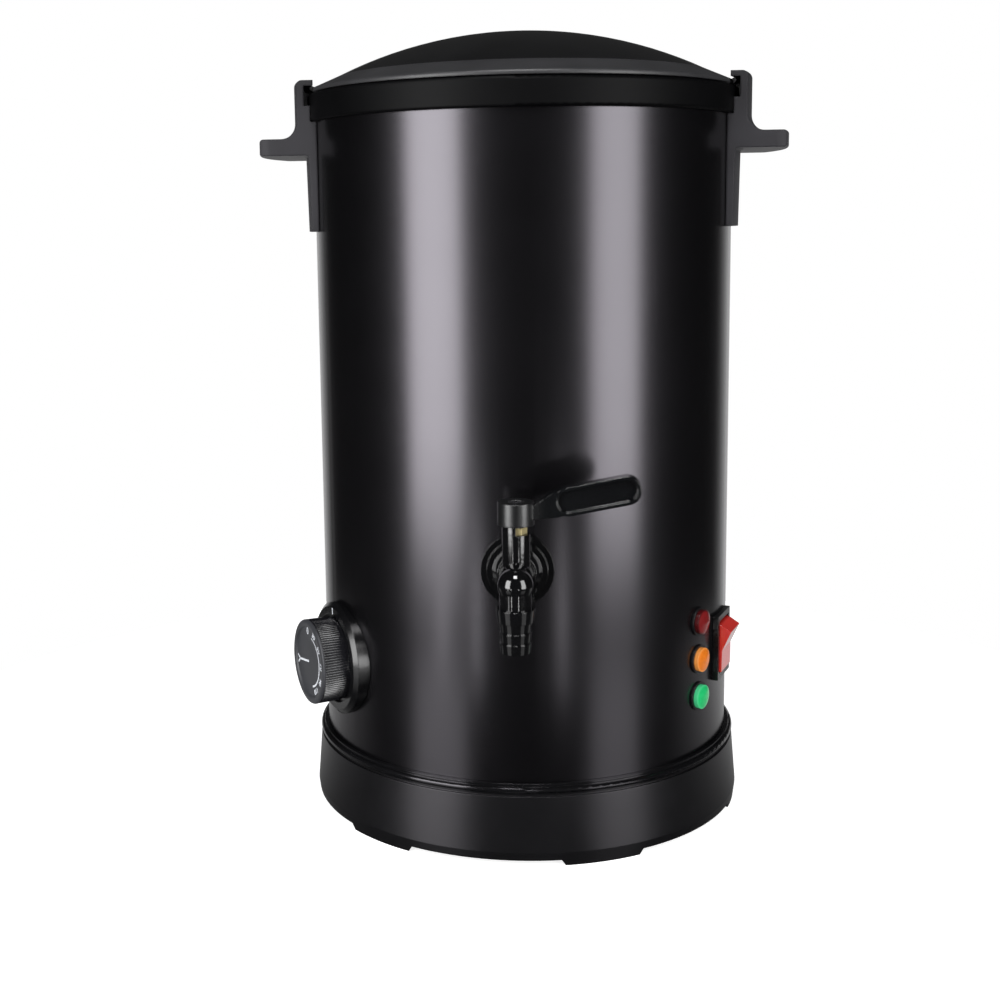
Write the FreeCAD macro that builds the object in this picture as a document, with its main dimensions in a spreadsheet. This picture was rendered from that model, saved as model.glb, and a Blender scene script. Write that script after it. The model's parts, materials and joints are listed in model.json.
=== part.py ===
import FreeCAD, Part
import Sketcher
import math
import os
import re
from FreeCAD import Placement, Rotation, Vector

# A free-standing electric wax melter: a steel shell on a moulded base ring, an
# aluminium pot hung from a top collar, a dome lid, two side handles with hooks
# over the lid rim, a front tap, a thermostat knob, three lamps and a rocker switch.
#
# Frame: +Z up, the floor at Z = 0, the body axis on Z, the tap towards -Y.
# An azimuth is measured from the tap (-Y) towards the right-hand handle (+X).
# Lengths are millimetres, angles are degrees.

doc = FreeCAD.newDocument("WaxMelter")
sheet = doc.addObject("Spreadsheet::Sheet", "Sizes")

SIZES = (
    # Body shell
    ("body_radius", 110, "outside radius of the shell"),
    ("shell_wall", 1, "steel sheet of the shell"),
    ("shell_foot", 34.3, "level of the shell's lower edge"),
    ("shell_top", 372, "level of the shell's upper edge"),
    ("seat_gap", 0.2, "gap between fixed pieces that nest round each other"),
    ("hole_gap", 0.3, "gap round a piece that passes through a hole"),
    ("run_gap", 0.1, "radial gap of a turning shaft in its hole"),
    ("past", 1, "how far a cutting tool runs past a face"),
    ("overlap", 0.5, "how far two joined solids run into each other"),
    ("round_spare", 0.05, "flat that a full rounding leaves between its two arcs"),
    ("drill_depth", 20, "how deep inside the shell its cutters start"),
    # Base ring
    ("flare_stand", 6.3, "how far the base stands out from the shell near the floor"),
    ("flare_level", 7, "level where the base is widest"),
    ("foot_tuck", 0.9, "how far the base draws in from there to the floor"),
    ("waist_stand", 4, "how far the base stands out from the shell under its groove"),
    ("waist_rise", 0.7, "rise from the shell's foot to the edge under the groove"),
    ("groove_depth", 1, "depth of the groove"),
    ("groove_rise", 1.6, "height of the groove"),
    ("bead_rise", 2.8, "height of the bead"),
    ("bead_stand", 0.2, "how far the bead stands out from the waist"),
    ("lip_stand", 2.3, "how far the lip stands out from the shell"),
    ("lip_rise", 1.6, "height of the lip above the bead"),
    ("base_wall", 2.8, "wall of the base ring"),
    ("ledge_wall", 3, "ledge that the shell stands on"),
    ("ledge_width", 6, "how far the ledge reaches in under the shell"),
    ("notch_count", 6, "notches between the feet"),
    ("notch_azimuth", -8.8, "azimuth of the first notch"),
    ("notch_width", 81, "width of a notch at the floor"),
    ("notch_slope", 2.5, "slope at each end of a notch"),
    ("notch_height", 3, "height of a notch"),
    ("boss_radius", 4, "bosses for the bottom plate"),
    ("boss_inset", 3, "distance of the bosses' centres inside the shell's radius"),
    ("boss_count", 3, "bosses and bottom screws"),
    ("boss_turn", 30, "turn from the first notch to the first boss"),
    # Bottom plate
    ("plate_level", 7, "underside of the bottom plate"),
    ("plate_wall", 1.2, "sheet of the bottom plate"),
    ("vent_count", 10, "vent slots in the bottom plate"),
    ("vent_ring", 58, "radius of the ring of vents"),
    ("vent_length", 34, "length of a vent slot"),
    ("vent_width", 5, "width of a vent slot"),
    ("small_screw", 1.5, "thread radius of the small screws"),
    ("small_head", 3, "head radius of the small screws"),
    ("head_thick", 2, "thickness of a screw head"),
    ("bottom_grip", 12, "thread length of a bottom screw"),
    # Top collar
    ("collar_stand", 3, "how far the collar stands out from the shell"),
    ("collar_drop", 7, "how far the collar reaches down over the shell"),
    ("collar_rise", 3, "height of the collar over its shelf"),
    ("shelf_rise", 4, "rise from the shell's top to the shelf for the pot flange"),
    ("collar_round", 1.4, "rounding of the collar's outer edges"),
    # Pot
    ("pot_inset", 9, "distance between the outsides of shell and pot"),
    ("pot_wall", 1.5, "wall of the pot"),
    ("pot_floor", 125, "underside of the pot"),
    ("pot_round", 10, "outer rounding at the pot floor"),
    ("flange_width", 5.3, "width of the pot flange"),
    ("wool_rise", 6, "rise from the pot floor to the insulation"),
    ("wool_drop", 32, "drop from the shell's top to the insulation"),
    ("wool_gap", 0.5, "gap between insulation and walls"),
    ("wool_clear", 2, "gap round the tap in the insulation"),
    # Heater
    ("heater_inset", 29, "distance between the edges of pot and heater plate"),
    ("heater_thick", 6, "thickness of the heater plate"),
    ("element_inset", 20, "distance of the element's ring inside the plate's edge"),
    ("element_radius", 3.2, "radius of the tubular element"),
    ("element_sweep", 325, "sweep of the tubular element"),
    ("cold_pin", 2.2, "radius of the element's end pins"),
    ("cold_drop", 14, "length of the element's end pins"),
    ("cold_room", 2, "gap round the element's end pins in the shield"),
    ("shield_inset", 4, "distance between the edges of plate and heat shield"),
    ("shield_drop", 25, "drop from the pot floor to the heat shield"),
    ("shield_wall", 1, "sheet of the heat shield"),
    ("shield_rim", 6, "height of the heat shield's rim"),
    ("stud_radius", 3, "radius of the centre stud"),
    ("stud_foot", 2.5, "lower end of the centre stud"),
    ("stud_bite", 3, "depth of the stud in the heater plate"),
    ("nut_flats", 10, "width of the stud nuts"),
    ("nut_thick", 4.5, "thickness of the stud nuts"),
    ("cutout_radius", 7.5, "radius of the thermal cutout"),
    ("cutout_thick", 6, "thickness of the thermal cutout"),
    ("cutout_inset", 26, "distance of the thermal cutout inside the element's ring"),
    ("cutout_azimuth", 110, "azimuth of the thermal cutout"),
    # Lid
    ("seal_thick", 2, "thickness of the lid seal"),
    ("lid_stand", 2.4, "how far the lid's edge stands out from the shell"),
    ("lid_edge_rise", 1.9, "height of the lid's outer edge"),
    ("lid_edge_round", 1.2, "rounding of the lid's outer edge"),
    ("lid_wall", 2, "wall of the lid"),
    ("brim_width", 15, "width of the brim round the dome"),
    ("brim_rise", 6.5, "rise of the brim from the lid's edge to the dome"),
    ("dome_rise", 22.5, "height of the dome"),
    ("skirt_gap", 1, "gap between the lid skirt and the pot"),
    ("skirt_drop", 7, "depth of the lid skirt"),
    ("notch_depth", 2.2, "depth of the lid's two rim notches"),
    ("notch_half", 41, "half width of the lid's rim notches"),
    ("grip_length", 80, "length of the finger pockets"),
    ("grip_width", 14, "width of each finger pocket"),
    ("grip_bar", 14, "width of the bar between the pockets"),
    ("grip_depth", 18.4, "depth of the finger pockets under the dome's top"),
    ("grip_wall", 2.5, "wall round the finger pockets"),
    # Handles
    ("handle_half", 37, "half width of a handle"),
    ("handle_sweep", 60, "sweep of the ring that a handle is cut from"),
    ("leg_drop", 39, "length of the handle's lower leg"),
    ("leg_wall", 3.4, "thickness of the handle's lower leg"),
    ("leg_taper", 0.7, "how much thicker the leg is at its top"),
    ("tab_thick", 8.5, "thickness of the grip tab"),
    ("tab_drop", 15.7, "drop from the shell's top to the grip tab"),
    ("tab_length", 18.8, "length of the grip tab beyond the post"),
    ("tab_round", 10, "plan rounding of the grip tab"),
    ("post_gap", 3.2, "gap between the collar and the upright post"),
    ("post_wall", 3.5, "thickness of the upright post"),
    ("hook_thick", 2.8, "thickness of the hook"),
    ("hook_gap", 1.5, "gap between the lid's edge and the hook above it"),
    ("hook_lap", 0.8, "how far the hook laps over the lid's edge"),
    ("slot_rise", 0.8, "rise from the shell's top to the floor of the slot beside the collar"),
    ("crook_round", 8.5, "rounding between tab and post"),
    ("crown_round", 2.6, "rounding on top of the hook"),
    ("tab_edge", 1.5, "rounding of the tab's edges"),
    ("handle_screw_rise", 4.2, "rise from the underside of the tab to its screws"),
    ("handle_screw_half", 18, "half spacing of the handle screws"),
    ("handle_screw_grip", 22, "length of a handle screw"),
    ("handle_thread", 2, "thread radius of a handle screw"),
    ("handle_head", 3.4, "head radius of a handle screw"),
    # Tap
    ("tap_rise", 23.6, "rise from the pot floor to the tap barrel"),
    ("tap_thread", 8, "radius of the tap's threaded tail"),
    ("tail_length", 22, "length of the threaded tail inside the shell's radius"),
    ("tap_bore", 4.5, "radius of the tap's waterway"),
    ("tap_flange", 17.6, "radius of the tap flange"),
    ("flange_stand", 1.6, "gap that the outer washer fills in front of the shell"),
    ("flange_step", 2.6, "thickness of the flange and of its step"),
    ("step_radius", 14.6, "radius of the flange's step"),
    ("cone_radius", 11.8, "radius of the cone at the step"),
    ("cone_tip", 9.3, "radius of the cone at the barrel"),
    ("cone_length", 5, "length of the cone"),
    ("barrel_radius", 8.3, "radius of the barrel"),
    ("stem_stand", 18.4, "distance from the back of the flange to the tap stem"),
    ("spout_throw", 13, "distance from tap stem to spout"),
    ("spout_radius", 7.5, "radius of the spout"),
    ("spout_drop", 10.8, "drop from the barrel to the spout's lower end"),
    ("spigot_radius", 6, "radius of the nozzle's spigot"),
    ("spigot_length", 4, "length of the nozzle's spigot"),
    ("neck_radius", 6.6, "radius of the stem neck"),
    ("neck_rise", 21.4, "height of the stem neck over the barrel"),
    ("ball_radius", 6, "radius of the valve ball"),
    ("ball_bore", 3.5, "radius of the hole through the ball"),
    ("ball_gap", 0.08, "gap between ball and seats"),
    ("seam_turn", 45, "turn of the ball's seam away from its bore"),
    ("seat_radius", 6.5, "outside radius of a ball seat"),
    ("seat_thick", 2.6, "thickness of a ball seat"),
    ("seat_wrap", 1, "how far a seat wraps over the ball"),
    ("stem_radius", 2.4, "radius of the tap stem"),
    ("stem_bite", 1.4, "depth of the stem in the ball"),
    ("gland_flats", 9, "width of the brass gland nut"),
    ("gland_thick", 3.2, "height of the brass gland nut"),
    ("locknut_flats", 26, "width of the tap locknut"),
    ("locknut_thick", 5, "thickness of the tap locknut"),
    ("inner_washer", 13, "radius of the inner tap washer"),
    ("washer_inset", 1, "how far the outer washer stays inside the flange"),
    ("washer_room", 10, "length that the shaped washers are cut from"),
    ("washer_seat", 4.5, "distance from the pot's outside to the flat face of the inner washer"),
    ("hub_radius", 8.6, "radius of the lever hub"),
    ("hub_rise", 4.3, "rise from the neck to the lever hub"),
    ("hub_height", 10.7, "height of the lever hub"),
    ("hub_recess", 3.9, "radius of the hub's screw recess"),
    ("recess_depth", 1.6, "depth of the hub's screw recess"),
    ("screw_hole", 8, "depth of the threaded hole in the stem"),
    ("lever_screw_length", 7, "thread length of the lever screw"),
    ("slot_width", 1, "width of the slot in the lever screw"),
    ("slot_depth", 0.7, "depth of the slot in the lever screw"),
    ("arm_thick", 7, "thickness of lever arm and paddle"),
    ("arm_low", 2, "underside of the arm over the hub's, at the stem"),
    ("arm_knee", 20, "distance from stem to the arm's knee"),
    ("arm_bend", 4, "underside of the arm over the hub's, at the knee"),
    ("arm_bite", 3, "how far the arm reaches into the paddle"),
    ("arm_inset", 1.6, "how far the arm stays over the paddle's lower edge"),
    ("arm_brow", 17, "distance from stem to the brow on top of the arm"),
    ("arm_dip", 2.4, "how far the brow lies under the paddle's upper edge"),
    ("paddle_tilt", 11.1, "rise of the paddle"),
    ("paddle_start", 24, "distance from stem to paddle"),
    ("paddle_end", 51.4, "distance from stem to the paddle's end arc"),
    ("paddle_rise", 0.4, "rise from the hub's top to the paddle's centre line, at its start"),
    ("paddle_half", 6.7, "half height of the paddle"),
    ("paddle_rim", 1.7, "rim round the paddle's pocket"),
    ("pocket_depth", 2, "depth of the paddle's pocket"),
    ("nozzle_collar", 6.2, "height of the nozzle's collar"),
    ("nozzle_wide", 9.1, "radius of the nozzle's collar"),
    ("nozzle_narrow", 8.4, "radius at the collar's lower edge"),
    ("barb_count", 3, "barbs on the nozzle"),
    ("barb_pitch", 4.85, "height of one barb"),
    ("barb_wide", 7.5, "radius at the top of a barb"),
    ("barb_narrow", 6.9, "radius at the foot of a barb"),
    # Thermostat and knob
    ("knob_azimuth", -59.4, "azimuth of the thermostat"),
    ("knob_drop", 37.9, "drop from the pot floor to the thermostat"),
    ("dial_radius", 29.5, "radius of the dial plate"),
    ("dial_stand", 4.6, "how far the dial plate stands out from the shell"),
    ("dial_step", 2, "step round the front of the dial plate"),
    ("dial_chamfer", 2.4, "how far the step stands in"),
    ("dial_well", 1.8, "depth of the well that the knob sits in"),
    ("well_gap", 1.2, "gap round the knob in its well"),
    ("bush_radius", 6, "radius of the thermostat bush"),
    ("bush_depth", 3.1, "how far the thermostat bush stays inside the dial plate's face"),
    ("shaft_radius", 3, "radius of the thermostat shaft"),
    ("shaft_depth", 13, "how deep inside the shell the thermostat shaft starts"),
    ("knob_gap", 0.5, "gap between the well's floor and the knob"),
    ("knob_length", 15.5, "length of the knob"),
    ("knob_radius", 22.1, "radius of the knob"),
    ("knob_wall", 2, "wall of the knob"),
    ("knob_hub", 6.5, "radius of the knob's hub"),
    ("knob_dish", 1, "depth of the dish in the knob's face"),
    ("knob_edge", 0.8, "bevel round the knob's face"),
    ("hub_inset", 1, "how far the knob's hub stays inside its back"),
    ("dish_radius", 18.6, "radius of the dish"),
    ("shaft_bite", 9, "depth of the shaft in the knob"),
    ("control_width", 36, "width of the thermostat body"),
    ("control_height", 30, "height of the thermostat body"),
    ("control_depth", 22, "depth of the thermostat body"),
    ("control_inset", 9, "distance of the thermostat body inside the shell"),
    ("dial_screw_half", 13, "half spacing of the dial screws"),
    ("dial_screw_depth", 14, "how deep inside the shell the dial screws end"),
    ("blade_width", 6.3, "width of the flat terminals"),
    ("blade_thick", 0.8, "thickness of the flat terminals"),
    ("blade_length", 8, "length of the flat terminals"),
    ("control_blade_half", 8, "half spacing of the thermostat terminals"),
    # Lamps
    ("lamp_spacing", 29, "distance along the shell from the lamps to the switch"),
    ("red_rise", 19.8, "spacing of the red lamp over the amber one"),
    ("lamp_drop", 35, "drop from the pot floor to the amber lamp"),
    ("green_drop", 19.6, "spacing of the green lamp under the amber one"),
    ("lens_radius", 6.2, "radius of a lamp lens"),
    ("lens_crown", 1.3, "crown of a lamp lens"),
    ("lens_stand", 1.9, "how far the lens stands out from its rim, at its edge"),
    ("lens_depth", 6, "how deep inside the shell a lens starts"),
    ("barrel_wall", 0.8, "wall of a lamp holder"),
    ("holder_depth", 18, "how deep inside the shell a lamp holder starts"),
    ("holder_rim", 7.4, "radius of a lamp holder's rim"),
    ("rim_stand", 1, "how far a lamp holder's rim stands out from the shell"),
    ("lamp_nut_flats", 18, "width of a lamp nut"),
    ("lamp_nut_thick", 3, "thickness of a lamp nut"),
    ("lamp_pin_half", 2.5, "half spacing of the lamp terminals"),
    ("lamp_pin_width", 3, "width of a lamp terminal"),
    ("lamp_pin_length", 5, "length of a lamp terminal"),
    # Switch
    ("switch_azimuth", 70.6, "azimuth of the switch"),
    ("switch_rise", 1.2, "rise from the amber lamp to the switch"),
    ("bezel_width", 25, "width of the switch bezel"),
    ("bezel_height", 34, "height of the switch bezel"),
    ("bezel_stand", 2.4, "how far the switch bezel stands out from the shell"),
    ("plate_root", 3, "how far a flat plate reaches in before it is fitted to the shell"),
    ("frame_width", 22.4, "width of the switch body"),
    ("frame_height", 30, "height of the switch body"),
    ("frame_depth", 22, "depth of the switch body inside the shell"),
    ("frame_well", 18, "depth of the rocker's well inside the shell"),
    ("rocker_width", 19, "width of the rocker"),
    ("pivot_depth", 3.5, "depth of the rocker's pivot inside the shell"),
    ("rocker_tilt", 12.5, "tilt of the rocker at each end of travel"),
    ("rocker_half", 13.2, "half length of the rocker"),
    ("rocker_shoulder", 3.9, "height of the rocker's shoulder over the pivot"),
    ("crest_half", 11.2, "half distance between the rocker's crests"),
    ("crest_rise", 9.7, "height of the crests over the pivot"),
    ("saddle_rise", 7.4, "height of the rocker's middle over the pivot"),
    ("keel_half", 6, "half length of the rocker's keel"),
    ("keel_drop", 7, "depth of the rocker's keel under the pivot"),
    ("pin_radius", 1.5, "radius of the rocker's pivot pins"),
    ("pin_length", 1.2, "length of the rocker's pivot pins"),
    ("rocker_flank", 1, "depth of the rocker's flank under the pivot"),
    ("switch_blade_half", 5, "half spacing of the switch terminals along the shell"),
    ("switch_blade_rise", 8, "half spacing of the switch terminals up the shell"),
    # Power inlet
    ("inlet_drop", 40, "drop from the pot floor to the power inlet"),
    ("inlet_width", 22.5, "width of the inlet flange"),
    ("inlet_height", 50, "height of the inlet flange"),
    ("inlet_stand", 3, "how far the inlet flange stands out from the shell"),
    ("inlet_body_width", 20, "width of the inlet body"),
    ("inlet_body_height", 27.5, "height of the inlet body"),
    ("inlet_depth", 24, "depth of the inlet body inside the shell"),
    ("socket_width", 15.6, "width of the inlet's socket"),
    ("socket_height", 23.4, "height of the inlet's socket"),
    ("socket_depth", 17, "depth of the inlet's socket"),
    ("inlet_screw_half", 20, "half spacing of the inlet screws"),
    ("inlet_screw_grip", 8, "depth of the inlet screws inside the shell"),
    ("small_nut_flats", 5.5, "width of the small nuts"),
    ("small_nut_thick", 2.4, "thickness of the small nuts"),
    ("prong_width", 4, "width of an inlet pin"),
    ("prong_thick", 2, "thickness of an inlet pin"),
    ("prong_inset", 4, "how far the pins stay inside the inlet's face"),
    ("prong_pitch", 7, "spacing of the inlet pins"),
    ("prong_rise", 4, "offset of the earth pin"),
    # Terminal block and wires
    ("block_reach", 48, "place of the terminal block"),
    ("block_length", 40, "length of the terminal block"),
    ("block_width", 16, "width of the terminal block"),
    ("block_height", 13, "height of the terminal block"),
    ("terminal_count", 6, "terminals of the block"),
    ("well_depth", 5, "depth of a terminal"),
    ("wire_radius", 1.4, "radius of an insulated wire"),
    ("wire_bend", 5, "bend radius of wires and capillary"),
    ("wire_lead", 16, "straight end of a wire at a terminal"),
    ("wire_low", 30, "level of the lowest wire over the block"),
    ("wire_step", 8, "rise from wire to wire over the block"),
    ("bulb_radius", 3, "radius of the sensor bulb"),
    ("bulb_length", 46, "length of the sensor bulb"),
    ("bulb_stand", 9, "distance of the sensor bulb outside the heater plate's edge"),
    ("bulb_azimuth", -20, "azimuth of the sensor bulb"),
    ("capillary_radius", 1, "radius of the capillary tube"),
    ("capillary_lead", 14, "straight run of the capillary beside the bulb"),
    ("clip_wall", 1, "strap of the bulb clip"),
    ("clip_width", 10, "width of the bulb clip"),
    ("clip_reach", 18, "length of the bulb clip across the bulb"),
)

# Places that follow from the sizes above: how far out, how high or how far round each piece sits.
DERIVED = {
    "flare_radius": "body_radius + flare_stand",
    "foot_radius": "flare_radius - foot_tuck",
    "waist_radius": "body_radius + waist_stand",
    "groove_radius": "waist_radius - groove_depth",
    "bead_radius": "waist_radius + bead_stand",
    "lip_radius": "body_radius + lip_stand",
    "waist_level": "shell_foot + waist_rise",
    "bead_low": "waist_level + groove_rise",
    "bead_high": "bead_low + bead_rise",
    "base_height": "bead_high + lip_rise",
    "ledge_radius": "body_radius - ledge_width",
    "boss_ring": "body_radius - boss_inset",
    "collar_radius": "body_radius + collar_stand",
    "collar_low": "shell_top - collar_drop",
    "shelf_level": "shell_top + shelf_rise",
    "collar_high": "shelf_level + collar_rise",
    "pot_radius": "body_radius - pot_inset",
    "flange_reach": "pot_radius + flange_width",
    "wool_low": "pot_floor + wool_rise",
    "wool_high": "shell_top - wool_drop",
    "heater_radius": "pot_radius - heater_inset",
    "element_ring": "heater_radius - element_inset",
    "shield_radius": "heater_radius - shield_inset",
    "shield_level": "pot_floor - shield_drop",
    "cutout_ring": "element_ring - cutout_inset",
    "lid_radius": "body_radius + lid_stand",
    "lid_edge": "shelf_level + pot_wall + seal_thick + lid_edge_rise",
    "dome_radius": "lid_radius - brim_width",
    "dome_foot": "lid_edge + brim_rise",
    "dome_top": "dome_foot + dome_rise",
    "grip_floor": "dome_top - grip_depth",
    "tab_high": "shell_top - tab_drop",
    "tab_low": "tab_high - tab_thick",
    "handle_foot": "tab_low - leg_drop",
    "post_inner": "collar_radius + post_gap",
    "tab_reach": "post_inner + post_wall + tab_length",
    "hook_under": "lid_edge + hook_gap",
    "hook_top": "hook_under + hook_thick",
    "hook_reach": "lid_radius - hook_lap",
    "slot_floor": "shell_top + slot_rise",
    "handle_screw_level": "tab_low + handle_screw_rise",
    "tap_level": "pot_floor + tap_rise",
    "tail_start": "body_radius - tail_length",
    "flange_seat": "body_radius + flange_stand",
    "stem_reach": "flange_seat + stem_stand",
    "spout_reach": "stem_reach + spout_throw",
    "spout_foot": "tap_level - spout_drop",
    "neck_top": "tap_level + neck_rise",
    "washer_front": "pot_radius - washer_seat",
    "hub_low": "neck_top + hub_rise",
    "hub_high": "hub_low + hub_height",
    "paddle_level": "hub_high + paddle_rise",
    "nozzle_nut_low": "spout_foot - nozzle_collar",
    "knob_level": "pot_floor - knob_drop",
    "dial_front": "body_radius + dial_stand",
    "bush_front": "dial_front - bush_depth",
    "shaft_start": "body_radius - shaft_depth",
    "well_floor": "dial_front - dial_well",
    "knob_back": "well_floor + knob_gap",
    "knob_front": "knob_back + knob_length",
    "control_front": "body_radius - control_inset",
    "dial_screw_end": "body_radius - dial_screw_depth",
    "lamp_azimuth": "switch_azimuth - 180 * lamp_spacing / (pi * body_radius)",
    "amber_level": "pot_floor - lamp_drop",
    "red_level": "amber_level + red_rise",
    "green_level": "amber_level - green_drop",
    "holder_front": "body_radius + rim_stand",
    "lens_edge": "holder_front + lens_stand",
    "lens_front": "lens_edge + lens_crown",
    "lens_back": "body_radius - lens_depth",
    "holder_back": "body_radius - holder_depth",
    "switch_level": "amber_level + switch_rise",
    "bezel_front": "body_radius + bezel_stand",
    "frame_back": "body_radius - frame_depth",
    "frame_floor": "body_radius - frame_well",
    "rocker_pivot": "body_radius - pivot_depth",
    "inlet_level": "pot_floor - inlet_drop",
    "inlet_front": "body_radius + inlet_stand",
    "inlet_back": "body_radius - inlet_depth",
    "socket_floor": "inlet_front - socket_depth",
    "prong_front": "inlet_front - prong_inset",
    "bulb_ring": "heater_radius + bulb_stand",
}

NAMES = {name for name, value, note in SIZES}
NODES = []
SIDES = (1, -1)
COLOURS = ("red", "amber", "green")
HANDLE_AZIMUTHS = (90, -90)
MATCH = 0.01  # how far an edge may lie from the place that names it


def fill_sheet():
    for row, (name, value, note) in enumerate(SIZES, start=1):
        sheet.set(f"A{row}", name)
        sheet.set(f"B{row}", str(value))
        sheet.set(f"C{row}", note)
        sheet.setAlias(f"B{row}", name)
    doc.recompute()


def bound(text):
    """The expression with each name turned into its cell in the sheet, or what it follows from."""
    def cell(match):
        word = match.group(0)
        if word in DERIVED:
            return f"({bound(DERIVED[word])})"
        return "Sizes." + word if word in NAMES else word
    return re.sub(r"[a-z_]+", cell, str(text))


def size(text):
    """The value of an expression of size names, as a plain number."""
    value = PROBE.evalExpression(bound(text))
    return float(getattr(value, "Value", value))


# ---------------------------------------------------------------- places

def turned(azimuth):
    """A rotation about the body axis."""
    return Placement(Vector(), Rotation(Vector(0, 0, 1), size(azimuth)))


def upright(azimuth=0, reach=0, level=0):
    """Local Z up, at a distance from the axis; local -Y points outwards."""
    shift = Placement(Vector(0, -size(reach), size(level)), Rotation())
    return turned(azimuth).multiply(shift)


def outward(azimuth, reach, level, along=0, rise=0):
    """Local Z points out from the axis, local Y up, local X along the shell."""
    spot = Vector(size(along), -size(reach), size(level) + size(rise))
    lean = Rotation(Vector(1, 0, 0), 90)
    return turned(azimuth).multiply(Placement(spot, lean))


def lying():
    """Turns local Z to lie along the place's X."""
    return Placement(Vector(), Rotation(Vector(0, 1, 0), 90))


def moved(place, x=0, y=0, z=0):
    """The place shifted along its own axes."""
    return place.multiply(Placement(Vector(size(x), size(y), size(z)), Rotation()))


# ---------------------------------------------------------------- pieces

def node(name, thing, place=None):
    """Names a finished sub-part; the name is also its file's name."""
    thing.Label = name
    if place is not None:
        thing.Placement = place
    NODES.append(thing)
    return thing


def primitive(kind, place, **sizes):
    thing = doc.addObject("Part::" + kind, kind)
    for field, text in sizes.items():
        thing.setExpression(field, bound(text))
    if place is not None:
        thing.Placement = place
    return thing


def rod(radius, length, place=None):
    return primitive("Cylinder", place, Radius=radius, Height=length)


def cone(foot, top, length, place=None):
    return primitive("Cone", place, Radius1=foot, Radius2=top, Height=length)


def ball(radius, place=None):
    return primitive("Sphere", place, Radius=radius)


def hexagon(flats, thick, place=None):
    thing = primitive("Prism", place, Circumradius=f"({flats}) / sqrt(3)", Height=thick)
    thing.Polygon = 6
    return thing


def block(width, height, depth, place):
    """A box centred on its place across local X and Y, rising along local Z."""
    corner = moved(place, f"-({width}) / 2", f"-({height}) / 2")
    return primitive("Box", corner, Length=width, Width=height, Height=depth)


def blade(place):
    """A flat push-on terminal along local Z."""
    return block("blade_thick", "blade_width", "blade_length", place)


def fuse(*things):
    if len(things) == 1:
        return things[0]
    joined = doc.addObject("Part::MultiFuse", "Fuse")
    joined.Shapes = list(things)
    joined.Refine = False
    return joined


def group(*things):
    """Separate solids kept together as one object."""
    bundle = doc.addObject("Part::Compound", "Group")
    bundle.Links = list(things)
    return bundle


def cut(base, *tools):
    trimmed = doc.addObject("Part::Cut", "Cut")
    trimmed.Base = base
    trimmed.Tool = fuse(*tools)
    trimmed.Refine = False
    return trimmed


def common(first, second):
    shared = doc.addObject("Part::Common", "Common")
    shared.Base = first
    shared.Tool = second
    return shared


# ---------------------------------------------------------------- bodies

def origin_plane(body, role):
    return next(f for f in body.Origin.OriginFeatures if f.Role == role)


def straight(start, end):
    return Part.LineSegment(start, end), True


def arc_about_axis(start, end):
    """An arc from start to end whose centre lies on the vertical axis."""
    square = start.x ** 2 - end.x ** 2 + start.y ** 2 - end.y ** 2
    centre = Vector(0, square / (2 * (start.y - end.y)), 0)
    radius = start.distanceToPoint(centre)
    angles = [math.atan2(p.y - centre.y, p.x) for p in (start, end)]
    circle = Part.Circle(centre, Vector(0, 0, 1), radius)
    return Part.ArcOfCircle(circle, min(angles), max(angles)), angles[0] < angles[1]


def outline(body, role, points):
    """A closed sketch through points given as (across, up) size expressions.

    A point with a third item starts an arc centred on the sketch's vertical axis.
    """
    sketch = body.newObject("Sketcher::SketchObject", "Outline")
    sketch.AttachmentSupport = [(origin_plane(body, role), "")]
    sketch.MapMode = "FlatFace"
    spots = [Vector(size(p[0]), size(p[1]), 0) for p in points]
    ends = []
    for i, point in enumerate(points):
        start, end = spots[i], spots[(i + 1) % len(spots)]
        curved = len(point) > 2
        side, forward = (arc_about_axis if curved else straight)(start, end)
        index = sketch.addGeometry(side, False)
        ends.append((1, 2) if forward else (2, 1))
        if curved:
            sketch.addConstraint(Sketcher.Constraint("PointOnObject", index, 3, -2))
    for i, point in enumerate(points):
        following = (i + 1) % len(points)
        meet = (i, ends[i][1], following, ends[following][0])
        sketch.addConstraint(Sketcher.Constraint("Coincident", *meet))
        pin_point(sketch, i, ends[i][0], "DistanceX", point[0], -2)
        pin_point(sketch, i, ends[i][0], "DistanceY", point[1], -1)
    return sketch


def pin_point(sketch, index, end, kind, text, axis):
    """Ties one coordinate of a point to the sheet, or to an axis where it is zero."""
    if str(text) == "0":
        sketch.addConstraint(Sketcher.Constraint("PointOnObject", index, end, axis))
        return
    number = sketch.addConstraint(Sketcher.Constraint(kind, -1, 1, index, end, size(text)))
    sketch.setExpression(f"Constraints[{number}]", bound(text))


def new_body(name):
    return doc.addObject("PartDesign::Body", name)


def revolved(name, points, sweep=360):
    """A body turned about Z from an outline of (radius, level) points."""
    body = new_body(name)
    sketch = outline(body, "XZ_Plane", points)
    turn = body.newObject("PartDesign::Revolution", "Turned")
    turn.Profile = sketch
    turn.ReferenceAxis = (sketch, ["V_Axis"])
    turn.setExpression("Angle", bound(sweep))
    doc.recompute()
    return body


def padded(name, role, points, thick):
    """A body of an outline padded by the same amount to both sides of its plane."""
    body = new_body(name)
    sketch = outline(body, role, points)
    pad = body.newObject("PartDesign::Pad", "Padded")
    pad.Profile = sketch
    pad.SideType = "Symmetric"
    pad.setExpression("Length", bound(thick))
    doc.recompute()
    return body


def circles(solid, points):
    """The names of the circular edges at the given (radius, level) places."""
    spots = [(size(radius), size(level)) for radius, level in points]
    found = []
    for number, edge in enumerate(solid.Shape.Edges, start=1):
        if edge.Degenerated or not isinstance(edge.Curve, Part.Circle):
            continue
        curve = edge.Curve
        if any(math.hypot(curve.Radius - r, curve.Center.z - z) < MATCH for r, z in spots):
            found.append(f"Edge{number}")
    return found


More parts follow.
